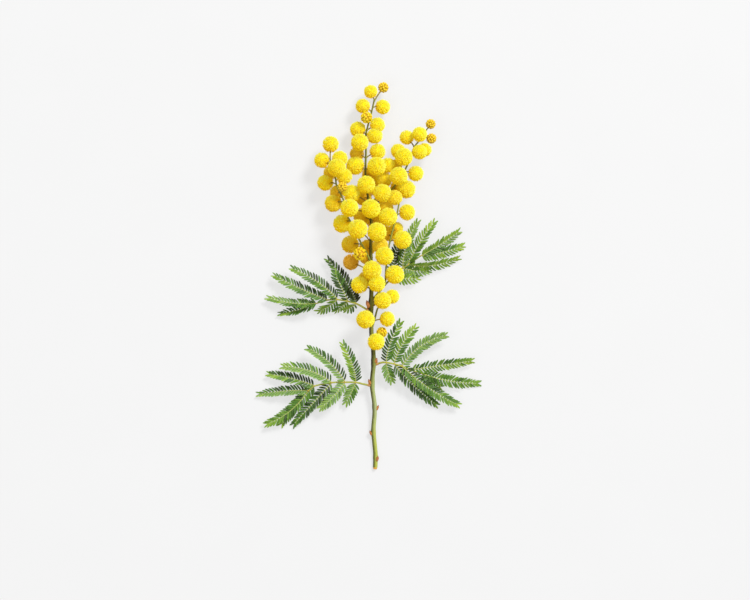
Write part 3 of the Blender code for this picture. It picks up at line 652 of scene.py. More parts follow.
def add_stamens(growth, roots, tips, shades, age_and_shade):
    """Closed three-sided spindles: thin at the root and widest just under the tip."""
    length = (tips - roots)[:, None]
    side, up = frames_of(unit(tips - roots))
    ring = []
    for turn in range(3):
        angle = 2 * math.pi * turn / 3
        ring.append(STAMEN_RADIUS * (math.cos(angle) * side + math.sin(angle) * up))
    belly = roots[:, None] + STAMEN_BELLY * length + np.stack(ring, 1)
    shapes = np.concatenate([roots[:, None], belly, tips[:, None]], 1)
    numbers = [(0, STAMEN_BELLY, STAMEN_BELLY, STAMEN_BELLY, 1), shades[:, None], age_and_shade]
    triangles = np.array([(0, 2, 1), (0, 3, 2), (0, 1, 3), (4, 1, 2), (4, 2, 3), (4, 3, 1)])
    spots = np.array([(0.5, 0), (0, STAMEN_BELLY), (0.5, STAMEN_BELLY), (1, STAMEN_BELLY), (0.5, 1)])
    growth.add(shapes, triangles, numbers, spots, STAMENS)


def above_surface(roots, tips):
    """Tips drawn in so that they stay above the surface."""
    reach = tips - roots
    room = roots[:, 2] - LOWEST
    share = np.where(tips[:, 2] < LOWEST, room / np.maximum(-reach[:, 2], 1e-6), 1.0)
    return roots + reach * np.clip(share, 0.05, 1.0)[:, None]


def add_florets(growth, middles, aims, radii, shades, ages_and_shades, lobes=0.0):
    """Small round florets, drawn out along their aims, with five lobes where lobes is over 0."""
    corners, triangles, spots = globe(*FLORET_ROUNDNESS)
    side, up = frames_of(aims)
    lobed = 1 - lobes * (np.arange(len(corners)) % 2) * np.clip(corners[:, 2], 0, 1)
    across = corners[:, :2] * lobed[:, None]
    shapes = middles[:, None] + radii[:, None, None] * (
        across[None, :, :1] * side[:, None]
        + across[None, :, 1:] * up[:, None]
        + FLORET_STRETCH * corners[None, :, 2:] * aims[:, None]
    )
    numbers = [0.5 + 0.5 * corners[:, 2], shades[:, None], ages_and_shades[:, None]]
    growth.add(on_surface(shapes), triangles, numbers, spots, BUDS)


def at_stalk(aims, head):
    """How near each aim is to the head's stalk, from 0 to 1."""
    return np.clip(aims @ np.array(head.entry), 0, 1)


def shade_and_fading(aims, head):
    """How far each aim lies in painted shade, on the side of the head away from the key lamp, and how far it
    fades round the stalk.
    """
    side = np.clip(0.3 + 0.7 * (aims @ PAINTED_SHADE_SIDE), 0, 1)
    return np.clip(side + 0.9 * at_stalk(aims, head) ** 6, 0, 1)


def add_heart(growth, head, florets, age_and_shade, height, finish):
    """The closed middle of a head, with a low dome under each floret."""
    corners, triangles, spots = globe(*HEART_ROUNDNESS)
    nearest = (corners @ florets.T).max(1)
    edge = 1 - 2 / len(florets)
    dome = np.clip((nearest - edge) / (1 - edge), 0, 1)
    radius = head.radius * height * (1 - FLORET_DOME + FLORET_DOME * dome)
    shape = np.array(head.middle) + corners * radius[:, None]
    # the second number is painted shade on the side away from the key lamp, and the fading round the stalk
    numbers = [dome, shade_and_fading(corners, head), age_and_shade]
    growth.add(on_surface(shape[None]), triangles, numbers, spots, finish)


def add_open_head(growth, head, age_and_shade, draw):
    """A fluffy ball: hundreds of stamens fan out of the florets and hide them."""
    florets = spread(FLORETS_IN_HEAD, draw)
    add_heart(growth, head, florets, age_and_shade, OPEN_HEART, CUPS)
    count = round(STAMENS_PER_SQUARE_MM * 4 * math.pi * head.radius**2)
    aims = unit(spread(count, draw) + draw.normal(scale=AIM_SPREAD, size=(count, 3)))
    aims = aims[aims @ np.array(head.entry) < math.cos(math.radians(STALK_PARTING))]
    closeness = aims @ florets.T
    own = florets[closeness.argmax(1)]
    away = np.arccos(np.clip(closeness.max(1), -1, 1))
    length = STAMEN_REACH - 0.1 * away**2 + draw.normal(scale=REACH_SPREAD, size=len(aims))
    length += LONG_STAMEN * (draw.random(len(aims)) < LONG_STAMEN_SHARE)
    roots = STAMEN_ROOT * head.radius * unit((1 - ROOT_GATHER) * aims + ROOT_GATHER * own)
    tips = head.radius * np.minimum(length, LONGEST_STAMEN)[:, None] * unit(aims + TIP_GATHER * (own - aims))
    middle = np.array(head.middle)
    roots[:, 2] = np.maximum(roots[:, 2], 2 * LOWEST - middle[2])
    tips = above_surface(middle + roots, middle + tips)
    # painted shade: stamens on the side away from the key lamp get low shades, which paint them gold rather
    # than lemon, and get more ochre
    shaded_and_faded = shade_and_fading(aims, head)
    shades = np.clip(draw.normal(0.5, SHADE_SPREAD, len(aims)) + 0.35 - 0.9 * shaded_and_faded, 0, 1)
    ages_and_shades = np.clip(age_and_shade + 0.3 * shaded_and_faded**2 * draw.uniform(0.4, 1.6, len(aims)), 0, 1)
    add_stamens(growth, middle + roots, tips, shades, ages_and_shades[:, None])


def add_half_open_head(growth, head, age_and_shade, draw):
    """Florets that have begun to open: round clusters of short stamens with gaps between them."""
    florets = spread(HALF_OPEN_FLORETS, draw)
    florets = unit(florets + draw.normal(scale=0.06, size=florets.shape))
    add_heart(growth, head, florets, age_and_shade, HALF_OPEN_HEART, GAPS)
    middle = np.array(head.middle)
    radii = head.radius * draw.uniform(0.19, 0.24, len(florets))
    shades = draw.uniform(0.3, 0.8, len(florets))
    ages_and_shades = age_and_shade + at_stalk(florets, head) ** 4
    add_florets(growth, middle + HALF_OPEN_RING * head.radius * florets, florets, radii, shades, ages_and_shades)
    for floret, shade, floret_age_and_shade in zip(florets, shades, ages_and_shades):
        aims = unit(floret + 0.3 * unit(draw.normal(size=(OPENING_STAMENS, 3))))
        roots = middle + OPENING_ROOT * head.radius * unit(0.7 * floret + 0.3 * aims)
        length = head.radius * draw.uniform(0.93, 1.03, (OPENING_STAMENS, 1))
        stamen_shades = np.clip(draw.normal(shade, 0.1, OPENING_STAMENS) - 0.25, 0, 1)
        add_stamens(growth, roots, above_surface(roots, middle + length * aims), stamen_shades, floret_age_and_shade)


def add_bud_head(growth, head, age_and_shade, draw):
    """A closed head: a ball packed with round floret buds."""
    florets = spread(FLORETS_IN_BUD, draw)
    florets = unit(florets + draw.normal(scale=0.025, size=florets.shape))
    add_heart(growth, head, florets, age_and_shade, BUD_HEART, GAPS)
    middles = np.array(head.middle) + BUD_RING * head.radius * florets
    radii = head.radius * draw.uniform(0.235, 0.265, len(florets))
    shades = draw.uniform(0.0, 0.6, len(florets))
    # painted shade: florets on the side away from the key lamp, and round the stalk where they fade, are
    # painted olive brown
    add_florets(growth, middles, florets, radii, shades, age_and_shade + 0.4 * shade_and_fading(florets, head), BUD_LOBES)


def build_heads(heads, finishes):
    """One piece for each head, or for each row of heads that touch."""
    joined = {number for row in TOUCHING for number in row}
    rows = list(TOUCHING) + [(number,) for number in heads if number not in joined]
    for row in sorted(rows):
        growth = Growth()
        for number in row:
            draw = np.random.default_rng((SEED, number))
            # how far the head is painted ochre as shade, with a little tone that differs at random
            age_and_shade = heads[number].age_and_shade + draw.uniform(0, 0.08)
            if number in BUD_HEADS:
                add_bud_head(growth, heads[number], age_and_shade, draw)
            elif number in HALF_OPEN_HEADS:
                add_half_open_head(growth, heads[number], age_and_shade, draw)
            else:
                add_open_head(growth, heads[number], age_and_shade, draw)
        node = head_node_name(row)
        slot = "bud" if row[0] in BUD_HEADS else "flower"
        make_piece(node + "_florets", growth, finishes, node)


def add_main_stem(growth, curve):
    """The main stem, swollen at its leaves, buds and forks, with the bevelled wood of its cut end."""
    swollen = [y for y, _, _ in SCARS] + [points[0][1] for points, _ in LEAVES.values()]
    swollen += [BRANCHES[name][0][0][1] for name in FORKS]
    stem = []
    for point, radius in curve:
        swelling = sum(SWELLING * math.exp(-(((point.y - y) / SWELLING_REACH) ** 2)) for y in swollen)
        stem.append((point, DRAWN_STEM * radius * (1 + swelling)))
    end, radius = stem[0]
    along = (stem[1][0] - end).normalized()
    wood = [(end + place * along, share * radius) for place, share in CUT_PROFILE]
    stem[0] = (end + BARK_START[0] * along, BARK_START[1] * radius)
    add_tube(growth, stem, 20, 0.0, BARK)
    add_tube(growth, wood, 20, 0.0, WOOD, CUT_DENT)


def add_branch(growth, curve):
    path = []
    for i, (point, radius) in enumerate(curve):
        path.append((point, radius * (1 + BRANCH_FLARE * math.exp(-i / 2.0))))
    add_tube(growth, path, 12, 0.45, BARK)


def add_stalk(growth, stalk):
    """A stalk flares a little at its foot and at its head."""
    path = []
    for step in range(STALK_STEPS + 1):
        t = step / STALK_STEPS
        flare = 0.4 * math.exp(-t * 9) + 0.25 * t**6
        path.append((stalk.at(t), DRAWN_STALK_RADIUS * (1 + flare)))
    add_tube(growth, path, 8, 1.0, BARK)


def add_cone(growth, foot, tip, radius, finish, bend=Vector((0, 0, 0)), kind=0.0):
    """A pointed bud, scale or gland from foot to tip, widest near its foot."""
    path = []
    for t, share in BUD_PROFILE:
        path.append((foot.lerp(tip, t) + 4 * t * (1 - t) * bend, radius * share))
    add_tube(growth, path, 8, kind, finish)


def add_stem_bud(growth, y, angle, length, curve):
    """A small brown bud in two scales that leans forward out of the main stem."""
    point, radius = min(curve, key=lambda place: abs(place[0].y - y))
    turn = math.radians(angle)
    outward = Vector((math.cos(turn), 0.0, math.sin(turn)))
    foot = point + (radius - 0.12) * outward + Vector((0, -0.6 * length, 0))
    tip = point + (radius + 0.5 * length) * outward + Vector((0, 0.62 * length, 0))
    add_cone(growth, foot, tip, BUD_RADIUS * length, SCALES, 0.12 * length * outward)
    low = foot + Vector((0, -0.4, 0))
    low_tip = low + 0.55 * (tip - foot) + 0.2 * outward
    add_cone(growth, low, low_tip, LOW_SCALE_RADIUS * length, SCALES)


def add_leaf_base(growth, leaf):
    """The thick brown joint where a leaf leaves the stem, with a small bud above it."""
    start, after = [Vector(point) for point in LEAVES[leaf][0][:2]]
    along = (after - start).normalized()
    path = []
    for t, share in JOINT_PROFILE:
        path.append((start + (JOINT_LENGTH * t - JOINT_SINK) * along, JOINT_RADIUS * share))
    add_tube(growth, path, 12, 0.0, JOINTS)
    bud = start + Vector((0, 0.7, 0.3))
    add_cone(growth, bud, bud + Vector((0.5 * along.x, 1.5, 0.35)), LEAF_BUD_RADIUS, SCALES)


def build_stem(heads, curves, finishes):
    """The main stem, the branches, the stalks, the brown buds and the leaf joints, in one piece."""
    growth = Growth()
    add_main_stem(growth, curves["main"])
    for name in BRANCHES:
        add_branch(growth, curves[name])
    for number, head in heads.items():
        stalk = choose_stalk(number, heads, curves)
        head.entry = stalk.entry
        add_stalk(growth, stalk)
    for y, angle, length in SCARS:
        add_stem_bud(growth, y, angle, length, curves["main"])
    for leaf in LEAVES:
        add_leaf_base(growth, leaf)
    make_piece("stem_and_stalks", growth, finishes, "stem")


def leaflet_shape():
    """One leaflet: corners as (across, along, up, thickness), its triangles and which are its underside."""
    corners = []
    for along, width in LEAFLET_OUTLINE:
        corners += [(-width, along, 1, 0), (width, along, 1, 0), (0, along, 0, 1), (0, along, 0, -1)]
    corners.append((0, 1, 0, 0))
    triangles = []
    under = []
    for row in range(len(LEAFLET_OUTLINE) - 1):
        left, right, top, bottom = range(4 * row, 4 * row + 4)
        far_left, far_right, far_top, far_bottom = range(4 * row + 4, 4 * row + 8)
        triangles += [(left, top, far_top), (left, far_top, far_left)]
        triangles += [(top, right, far_right), (top, far_right, far_top)]
        triangles += [(left, far_bottom, bottom), (left, far_left, far_bottom)]
        triangles += [(bottom, far_right, right), (bottom, far_bottom, far_right)]
        under += [0] * 4 + [1] * 4
    left, right, top, bottom = range(len(corners) - 5, len(corners) - 1)
    tip = len(corners) - 1
    triangles += [(left, top, tip), (top, right, tip), (left, tip, bottom), (bottom, tip, right)]
    under += [0, 0, 1, 1]
    triangles += [(0, 3, 2), (3, 1, 2)]
    under += [1, 1]
    return np.array(corners, float), np.array(triangles), np.array(under)


def add_leaflets(growth, places, turned):
    """Adds one leaflet for each place: foot, aim, up, length, width, bend and tone. turned is 1 where
    they show their undersides and 0 where they don't."""
    corners, triangles, under = leaflet_shape()
    foot, aim, up, length, width, bend, tone = (np.array(column) for column in zip(*places))
    side = np.cross(aim, up)
    across, along, _, thick = corners.T
    length, width, bend = length[:, None, None], width[:, None, None], bend[:, None, None]
    across = 0.5 * width * across[None, :, None]
    along = along[None, :, None]
    half_thick = 0.5 * LEAFLET_THICKNESS * thick[None, :, None]
    lift = EDGE_RISE * np.abs(across) - TIP_DROOP * length * along**2 + half_thick
    shapes = (
        foot[:, None]
        + length * along * aim[:, None]
        + (across + bend * length * along**2) * side[:, None]
        + lift * up[:, None]
    )
    place = 0.5 + 0.5 * corners[:, 0]
    numbers = [corners[:, 1], place, tone[:, None]]
    spots = np.stack([0.5 * place, corners[:, 1]], 1)[triangles]
    spots[:, :, 0] += 0.5 * under[:, None]
    growth.add(on_surface(shapes), triangles, numbers, spots, abs(turned - under))


def add_rib(growth, curve, kind):
    """The rib of a pinna, held up off the surface."""
    points = [bezier(*curve, RIB_END * step / RIB_STEPS) for step in range(RIB_STEPS + 1)]
    for point in points:
        point.z = max(point.z, RIB_LOWEST)
    add_tube(growth, tapered(points, RIB_RADIUS, RIB_TIP_RADIUS), 6, kind, RIBS)


def leaflet_size(share):
    """The length of a leaflet at this share of its rib, against the longest ones in the middle."""
    return 0.6 + 0.4 * math.sin(math.pi * min(1.0, 0.22 + 0.66 * share)) ** 0.8


def leaflet_row(curve, length, roll, hand, row, draw):
    """The leaflets on one side of a rib, as add_leaflets takes them. They lean to the tip of the rib."""
    start, control, tip = curve
    longest = LEAFLET_LENGTH * min(1.0, 0.62 + 0.03 * length)
    widest = LEAFLET_WIDTH * (PALE_WIDENING if row == "pale" else 1.0)
    pairs = round((length - BARE_RIB) / LEAFLET_PITCH)
    places = []
    for i in range(pairs + 1):
        share = i / pairs
        t = RIB_END * (BARE_RIB + (length - BARE_RIB) * share) / length
        along = ((1 - t) * (control - start) + t * (tip - control)).normalized()
        across = Quaternion(along, roll) @ along.cross(UP).normalized()
        up = across.cross(along)
        foot = bezier(*curve, t) - FEET_UNDER_RIB * up
        foot.z = max(foot.z, 0.5 * RIB_LOWEST)
        lean = 12 * share + 20 * share**4
        angle = math.radians(LEAFLET_ANGLE - lean + draw.normal(0, ANGLE_SPREAD))
        lift = math.radians(LEAFLET_LIFT + draw.normal(0, TILT_SPREAD))
        outward = math.cos(lift) * hand * across + math.sin(lift) * up
        aim = math.cos(angle) * along + math.sin(angle) * outward
        face = (up - math.tan(lift) * hand * across).normalized()
        twist = math.radians(hand * (LEAFLET_TWIST + draw.normal(0, TILT_SPREAD)))
        face = Quaternion(aim, twist) @ face
        face = (face - face.dot(aim) * aim).normalized()
        tone = TONES[row] + TIP_FRESHNESS * share**3 + draw.normal(0, TONE_SPREAD)
        size = leaflet_size(share)
        places.append((
            tuple(foot + FEET_APART * outward),
            tuple(aim),
            tuple(face),
            longest * size * draw.uniform(0.92, 1.05),
            widest * (0.4 + 0.6 * size) * draw.uniform(0.88, 1.05),
            -LEAFLET_CURVE * hand,
            min(max(tone, 0.0), 1.0),
        ))
    return places


def add_pinna(growth, start, middle, tip, roll, rows, draw):
    """One feathery pinna: a thin rib with a row of leaflets on each side."""
    curve = (start, 2 * middle - 0.5 * (start + tip), tip)
    length = (middle - start).length + (tip - middle).length
    rows = rows.split()
    add_rib(growth, curve, min(TONES[row] for row in rows))
    for hand, row in zip((-1, 1), rows):
        places = leaflet_row(curve, length, math.radians(roll), hand, row, draw)
        add_leaflets(growth, places, 1 if row == "pale" else 0)


def build_leaf(name, finishes):
    """One leaf: its rachis, and its pinnae in pairs with a small gland where each one starts."""
    points, pinnae = LEAVES[name]
    draw = np.random.default_rng((SEED, 100 + list(LEAVES).index(name)))
    growth = Growth()
    rachis = tapered(spline(points, CURVE_STEPS), RACHIS_RADIUS, RACHIS_TIP_RADIUS)
    add_tube(growth, rachis, 10, 1.0, RIBS)
    for foot, middle, tip, roll, rows in pinnae:
        start, middle = Vector(points[foot]), Vector(middle)
        add_pinna(growth, start, middle, Vector(tip), roll, rows, draw)
        gland = start + Vector((0, 0, 0.35))
        toward = (middle - start).normalized()
        add_cone(growth, gland - 0.3 * toward, gland + 0.9 * toward, GLAND_RADIUS, GLANDS, kind=1.0)
    make_piece(name + "_leaflets", growth, finishes, name)


def light_of(colour):
    """The light that a colour stands for, with full alpha."""
    return [((part / 255 + 0.055) / 1.055) ** 2.4 for part in colour] + [1.0]


class Field:
    """A number, colour or vector that varies over a surface. Sums and products add their nodes."""

    def __init__(self, finish, socket):
        self.finish = finish
        self.socket = socket

    def maths(self, operation, *terms):
        return self.finish.node("ShaderNodeMath", {"operation": operation}, dict(enumerate(terms)))

    def __add__(self, other):
        return self.maths("ADD", self, other)

    def __sub__(self, other):
        return self.maths("SUBTRACT", self, other)

    def __mul__(self, other):
        return self.maths("MULTIPLY", self, other)

    def __rsub__(self, other):
        return self.maths("SUBTRACT", other, self)

    __radd__ = __add__
    __rmul__ = __mul__

    def between(self, low, high):
        """0 below low, 1 above high and smooth between them."""
        settings = {"interpolation_type": "SMOOTHSTEP"}
        return self.finish.node("ShaderNodeMapRange", settings, {0: self, 1: low, 2: high})


class Finish:
    """One material around a Principled shader, built from fields."""

    def __init__(self, name, **constants):
        self.material = bpy.data.materials.new(name)
        self.material.use_nodes = True
        self.tree = self.material.node_tree
        self.shader = self.tree.nodes["Principled BSDF"]
        self.finished(**constants)

    def feed(self, socket, value):
        if isinstance(value, Field):
            self.tree.links.new(value.socket, socket)
        elif socket.type == "RGBA":
            socket.default_value = light_of(value)
        else:
            socket.default_value = value

    def node(self, kind, settings, values, out=0):
        """Adds a node: its settings first, then the values or links of its sockets."""
        made = self.tree.nodes.new(kind)
        for name, setting in settings.items():
            if name == "stops":
                self.set_stops(made.color_ramp, setting)
            else:
                setattr(made, name, setting)
        for name, value in values.items():
            self.feed(made.inputs[name], value)
        if isinstance(out, tuple):
            return [Field(self, made.outputs[name]) for name in out]
        return Field(self, made.outputs[out])

    def set_stops(self, ramp, stops):
        while len(ramp.elements) < len(stops):
            ramp.elements.new(0.5)
        for element, (place, colour) in zip(ramp.elements, stops):
            element.position = place
            element.color = light_of(colour)

    def numbers(self):
        """The three numbers that each corner of a piece carries."""
        growth = self.node("ShaderNodeAttribute", {"attribute_name": "growth"}, {}, "Vector")
        return self.node("ShaderNodeSeparateXYZ", {}, {0: growth}, (0, 1, 2))

    def noise(self, size, detail=2.0, stretch=(1.0, 1.0, 1.0)):
        """Noise about 0.5 whose lumps are about size millimetres across."""
        place = self.node("ShaderNodeTexCoord", {}, {}, "Object")
        scale = tuple(1 / (size * MM * part) for part in stretch)
        place = self.node("ShaderNodeVectorMath", {"operation": "MULTIPLY"}, {0: place, 1: scale})
        return self.node("ShaderNodeTexNoise", {}, {"Vector": place, "Scale": 1.0, "Detail": detail})

    def mix(self, share, first, second):
        """first where share is 0 and second where it is 1, for colours."""
        return self.node("ShaderNodeMix", {"data_type": "RGBA"}, {0: share, 6: first, 7: second}, 2)

    def ramp(self, share, stops):
        return self.node("ShaderNodeValToRGB", {"stops": stops}, {0: share})

    def grainy(self, grain, first, second):
        """Two colours that a noise mixes."""
        return self.ramp(grain, [(0.3, first), (0.7, second)])

    def bump(self, height, depth):
        return self.node("ShaderNodeBump", {}, {"Height": height, "Distance": depth * MM})

    def finished(self, **fields):
        """The material, once these sockets of its shader are set or fed."""
        for socket, value in fields.items():
            self.feed(self.shader.inputs[socket.replace("_", " ")], value)
        return self.material


def stamen_finish():
    """Golden at the roots of the stamens and yellow at their tips, with a painted lemon highlight on the
    side lit by the key lamp and painted golden shade on the other side, turning ochre as they grow older and
    in painted shade.
    """
    finish = Finish("stamens", Roughness=0.9, Specular_IOR_Level=0.0, Emission_Strength=1.0)
    along, shade, age_and_shade = finish.numbers()
    fresh = finish.ramp(along, [(0.0, GOLD), (0.8, YELLOW)])
    # painted highlight: lemon where the shade number is high, on the side lit by the key lamp; painted
    # shade: gold where it is low
    fresh = finish.mix(0.85 * shade.between(0.3, 1.0), fresh, LEMON)
    fresh = finish.mix(0.8 * (1 - shade.between(0.0, 0.45)), fresh, GOLD)
    # ochre of fading stamens and of heads in painted shade
    aged_and_shaded = finish.ramp(along + 0.3 * shade - 0.15, [(0.3, BROWN_GOLD), (1.0, OCHRE)])
    base = finish.mix(age_and_shade * (0.6 + 0.8 * finish.noise(1.6)), fresh, aged_and_shaded)
    # painted glow: the stamens give off light of their own, weaker where they fade and in painted shade
    return finish.finished(Base_Color=base, Emission_Color=finish.mix(0.5 * age_and_shade, PETAL_GLOW, OCHRE_GLOW))


def floret_cup_finish():
    """The small golden cups under the stamens, painted orange as shade on the side away from the key lamp
    and where they fade round the stalk, with a painted glow of their own.
    """
    finish = Finish("floret_cups", Roughness=0.9, Specular_IOR_Level=0.15, Emission_Strength=1.0)
    dome, shaded_and_faded, age_and_shade = finish.numbers()
    fresh = finish.ramp(dome + 0.3 * finish.noise(0.35) - 0.15, [(0.0, GOLD), (1.0, YELLOW)])
    base = finish.mix(age_and_shade, finish.mix(shaded_and_faded, fresh, (204, 140, 24)), OCHRE)
    # painted glow: the cups give off light of their own, weaker where they fade and in painted shade
    return finish.finished(Base_Color=base, Emission_Color=finish.mix(0.5 * age_and_shade, PETAL_GLOW, OCHRE_GLOW))


def floret_gap_finish():
    """Golden brown between the florets of closed and half open heads, painted darker brown as shade on the
    side away from the key lamp and where they fade round the stalk, with a painted glow that is weaker
    there.
    """
    finish = Finish("floret_gaps", Roughness=0.8, Emission_Strength=1.0)
    _, shaded_and_faded, _ = finish.numbers()
    base = finish.grainy(finish.noise(0.4), (176, 128, 16), (206, 156, 22))
    base = finish.mix(shaded_and_faded, base, (128, 78, 12))
    # painted glow: the gaps give off light of their own, weaker on the side in painted shade
    return finish.finished(Base_Color=base, Emission_Color=finish.mix(shaded_and_faded, (90, 60, 0), (30, 14, 0)))


def floret_bud_finish():
    """Closed floret buds: olive brown at their feet, golden on top, with fine grain."""
    finish = Finish("floret_buds", Roughness=0.6, Specular_IOR_Level=0.3)
    height, shade, age_and_shade = finish.numbers()
    grain = finish.noise(0.25, 3.0)
    stops = [(0.4, (150, 108, 10)), (0.65, (198, 154, 14)), (0.85, (223, 192, 24)), (1.0, (226, 192, 32))]
    base = finish.ramp(height + 0.16 * grain - 0.08, stops)
    base = finish.mix(0.3 * shade, base, (244, 214, 56))
    base = finish.mix(age_and_shade.between(0.1, 1.0), base, (150, 108, 22))
    return finish.finished(Base_Color=base, Normal=finish.bump(grain, 0.05))


def bark_finish():
    """Green bark with long streaks and pale pores, painted dark olive as shade on the left flank of the main
    stem and pale as highlight on the right flank, which faces the key lamp; the branches are painted
    likewise. The main stem's kind is 0, the branches' about a half and the stalks' 1."""
    finish = Finish("bark", Specular_IOR_Level=0.15)
    along, flank, kind = finish.numbers()
    streaks = finish.noise(0.5, 3.0, (1.0, 7.0, 1.0))
    pores = finish.noise(0.32, 1.0, (1.0, 1.8, 1.0)).between(0.66, 0.72)
    # painted shade of the left flank, along the main stem
    dark = finish.ramp(along, [
        (0.0, (88, 92, 26)),
        (0.13, (90, 97, 38)),
        (0.21, (96, 101, 58)),
        (0.28, (78, 73, 27)),
        (0.38, (34, 27, 9)),
        (1.0, (50, 45, 12)),
    ])
    # painted highlight of the right flank, which faces the key lamp
    pale = finish.ramp(along, [
        (0.0, (176, 182, 74)),
        (0.12, (178, 187, 90)),
        (0.2, (174, 184, 130)),
        (0.28, (166, 178, 106)),
        (0.4, (128, 132, 56)),
        (1.0, (136, 142, 48)),
    ])
    main = finish.mix((flank + 0.6 * streaks - 0.3).between(0.12, 0.82), dark, pale)
    main = finish.mix(0.5 * pores, main, (190, 186, 132))
    # the branches are painted darker on the left flank as shade and paler on the right as highlight
    branch = finish.mix(flank, (118, 124, 44), (160, 166, 76))
    stalk = finish.ramp(along, [(0.0, (120, 104, 44)), (0.2, (136, 134, 54)), (1.0, (158, 132, 48))])
    side = finish.mix(kind.between(0.5, 0.95), branch, stalk)
    base = finish.mix(kind.between(0.1, 0.4), main, side)
    base = finish.mix(0.3 * streaks, base, (86, 84, 40))
    relief = finish.bump(streaks + 0.5 * pores, 0.12)
    return finish.finished(Base_Color=base, Roughness=0.4 + 0.3 * streaks, Normal=relief)


def cut_wood_finish():
    """Yellow tan wood of the cut end."""
    finish = Finish("cut_wood", Roughness=0.85)
    grain = finish.noise(0.2, 3.0)
    base = finish.grainy(grain, (196, 134, 44), (226, 176, 80))
    return finish.finished(Base_Color=base, Normal=finish.bump(grain, 0.06))


def bud_scale_finish():
    """Brown bud scales, darker to their tips."""
    finish = Finish("bud_scales", Roughness=0.6)
    along, _, _ = finish.numbers()
    grain = finish.noise(0.25, 3.0)
    stops = [(0.0, (196, 132, 66)), (0.5, (162, 96, 42)), (1.0, (112, 62, 28))]
    base = finish.ramp(along + 0.5 * grain - 0.25, stops)
    return finish.finished(Base_Color=base, Normal=finish.bump(grain, 0.06))


def leaf_joint_finish():
    """The tan skin of the leaf joints and the yellow olive one of the glands, whose kind is 1."""
    finish = Finish("leaf_joints", Roughness=0.6)
    _, _, kind = finish.numbers()
    grain = finish.noise(0.3, 3.0)
    joint = finish.grainy(grain, (150, 104, 48), (194, 150, 86))
    gland = finish.grainy(grain, (166, 148, 50), (190, 168, 66))
    return finish.finished(Base_Color=finish.mix(kind, joint, gland), Normal=finish.bump(grain, 0.06))


def leaflet_finish(name, stops, vein, roughness, curl):
    """One side of a leaflet: its tone runs through the stops, and its midrib, edge and foot are paler.
    curl is how much of the other side's deep green shows along one edge."""
    finish = Finish(name, Roughness=roughness, Specular_IOR_Level=0.25)
    along, across, tone = finish.numbers()
    base = finish.ramp(tone + 0.2 * finish.noise(1.2) - 0.1, stops)
    off_middle = across.maths("ABSOLUTE", across - 0.5)
    rib = 1 - off_middle.between(0.02, 0.07)
    rim = off_middle.between(0.4, 0.5)
    foot = 1 - along.between(0.0, 0.14)
    base = finish.mix(rib.maths("MAXIMUM", 0.4 * rib + 0.2 * rim, 0.35 * foot), base, vein)
    base = finish.mix(curl * across.between(0.72, 0.82), base, (52, 88, 34))
    relief = finish.bump(finish.noise(0.16, 1.0) + rib, 0.03)
    return finish.finished(Base_Color=base, Normal=relief)


def leaflet_face_finish():
    """Painted shadow of the deepest green, then dark green to yellow green."""
    dark = [(0.0, (16, 26, 8)), (0.22, (27, 57, 14)), (0.45, (61, 104, 22))]
    fresh = [(0.7, (106, 141, 36)), (1.0, (145, 171, 54))]
    return leaflet_finish("leaflet_faces", dark + fresh, (170, 190, 104), 0.5, 0.0)


def leaflet_back_finish():
    """Greyer and paler green."""
    stops = [(0.0, (40, 60, 30)), (0.45, (100, 136, 62)), (0.7, (123, 154, 70)), (1.0, (141, 167, 72))]
    return leaflet_finish("leaflet_backs", stops, (192, 206, 146), 0.6, 0.8)


def rachis_finish():
    """The yellow green rachis, whose kind is 1, and the ribs, whose kind is the tone of their rows."""
    finish = Finish("rachis", Roughness=0.5)
    along, _, kind = finish.numbers()
    streaks = finish.noise(0.4, 3.0, (4.0, 1.0, 1.0))
    stalk = finish.ramp(along, [(0.0, (150, 150, 44)), (0.5, (168, 170, 52)), (1.0, (156, 166, 66))])
    rib = finish.ramp(along, [(0.0, (178, 182, 92)), (1.0, (172, 190, 110))])
    # painted shadow: the ribs of rows in the shade under the heads, and partly those of dark rows, are
    # darker green
    rib = finish.mix(kind.between(0.0, 0.3), (96, 118, 52), rib)
    base = finish.mix(kind.between(0.7, 0.9), rib, stalk)
    base = finish.mix(0.35 * streaks, base, (110, 120, 46))
    return finish.finished(Base_Color=base, Normal=finish.bump(streaks, 0.05))


def floor_finish():
    """A plain pale floor that gives off part of its own light, so that its shadows stay soft."""
    finish = Finish("floor", Roughness=0.9, Specular_IOR_Level=0.0)
    finish.finished(Base_Color=finish.grainy(finish.noise(40.0), (212, 212, 212), (214, 214, 214)))
    lit = Field(finish, finish.shader.outputs[0])
    glow = finish.node("ShaderNodeEmission", {}, {"Color": FLOOR_GLOW, "Strength": 1.0})
    both = finish.node("ShaderNodeMixShader", {}, {0: FLOOR_GLOW_SHARE, 1: lit, 2: glow})
    finish.tree.links.new(both.socket, finish.tree.nodes["Material Output"].inputs["Surface"])
    return finish.material


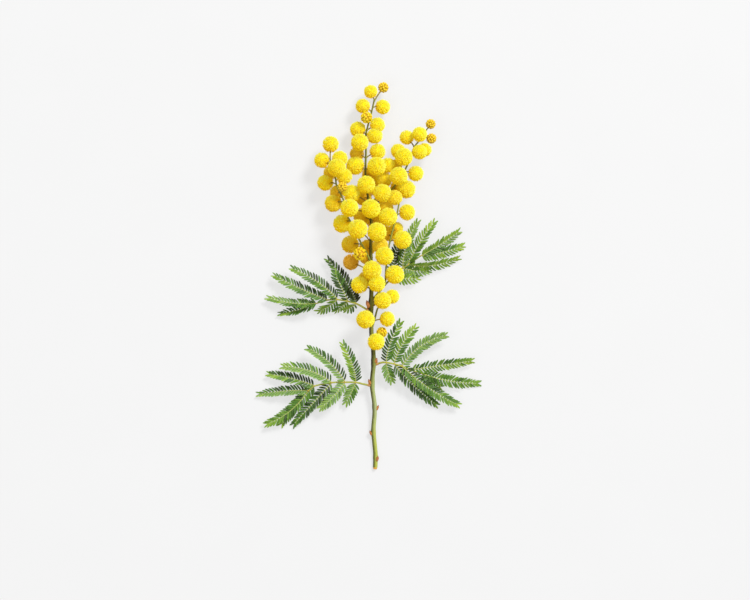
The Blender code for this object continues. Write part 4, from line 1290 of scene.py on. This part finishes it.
def set_floor():
    half = FLOOR_HALF * MM
    corners = [(-half, -half, 0), (half, -half, 0), (half, half, 0), (-half, half, 0)]
    mesh = bpy.data.meshes.new("floor")
    mesh.from_pydata(corners, [], [(0, 1, 2, 3)])
    mesh.materials.append(floor_finish())
    floor = bpy.data.objects.new("floor", mesh)
    bpy.context.scene.collection.objects.link(floor)


def set_lamp(name, place, size, power):
    """A square soft lamp that faces the sprig. Its place and size are in metres."""
    light = bpy.data.lights.new(name, "AREA")
    light.size = size
    light.energy = power
    lamp = bpy.data.objects.new(name, light)
    lamp.location = place
    lamp.rotation_euler = (SPRIG_MIDDLE - Vector(place)).to_track_quat("-Z", "Y").to_euler()
    bpy.context.scene.collection.objects.link(lamp)


def set_light():
    """A white sky, a soft key lamp over the tip on the right, and a weak fill lamp over the cut end."""
    world = bpy.data.worlds.new("studio")
    bpy.context.scene.world = world
    world.use_nodes = True
    sky = world.node_tree.nodes["Background"]
    sky.inputs["Color"].default_value = (1.0, 1.0, 1.0, 1.0)
    sky.inputs["Strength"].default_value = SKY_STRENGTH
    set_lamp("key_lamp", (1.1, 1.5, 1.9), 0.75, KEY_POWER)
    set_lamp("fill_lamp", (-0.5, -0.3, 1.1), 0.8, FILL_POWER)
    bpy.context.scene.view_settings.view_transform = "Standard"


def set_camera():
    """Looks straight down from far above, with +Y up, as the sprig was photographed."""
    camera = bpy.data.cameras.new("camera")
    camera.sensor_width = 36.0
    camera.lens = camera.sensor_width * CAMERA_HEIGHT / VIEW_WIDTH
    camera.clip_end = 20.0
    stand = bpy.data.objects.new("camera", camera)
    stand.location = Vector((*VIEW_MIDDLE, CAMERA_HEIGHT + IN_VIEW_HEIGHT)) * MM
    bpy.context.scene.collection.objects.link(stand)
    bpy.context.scene.camera = stand


def main():
    curves = branch_curves()
    heads = {number: Head(*place) for number, place in HEADS.items()}
    settle(heads, curves)
    joints = leaf_joint_finish()
    build_stem(heads, curves, [bark_finish(), cut_wood_finish(), bud_scale_finish(), joints])
    leaf_finishes = [leaflet_face_finish(), leaflet_back_finish(), rachis_finish(), joints]
    for name in LEAVES:
        build_leaf(name, leaf_finishes)
    head_finishes = [stamen_finish(), floret_cup_finish(), floret_gap_finish(), floret_bud_finish()]
    build_heads(heads, head_finishes)
    set_floor()
    set_light()
    set_camera()


main()
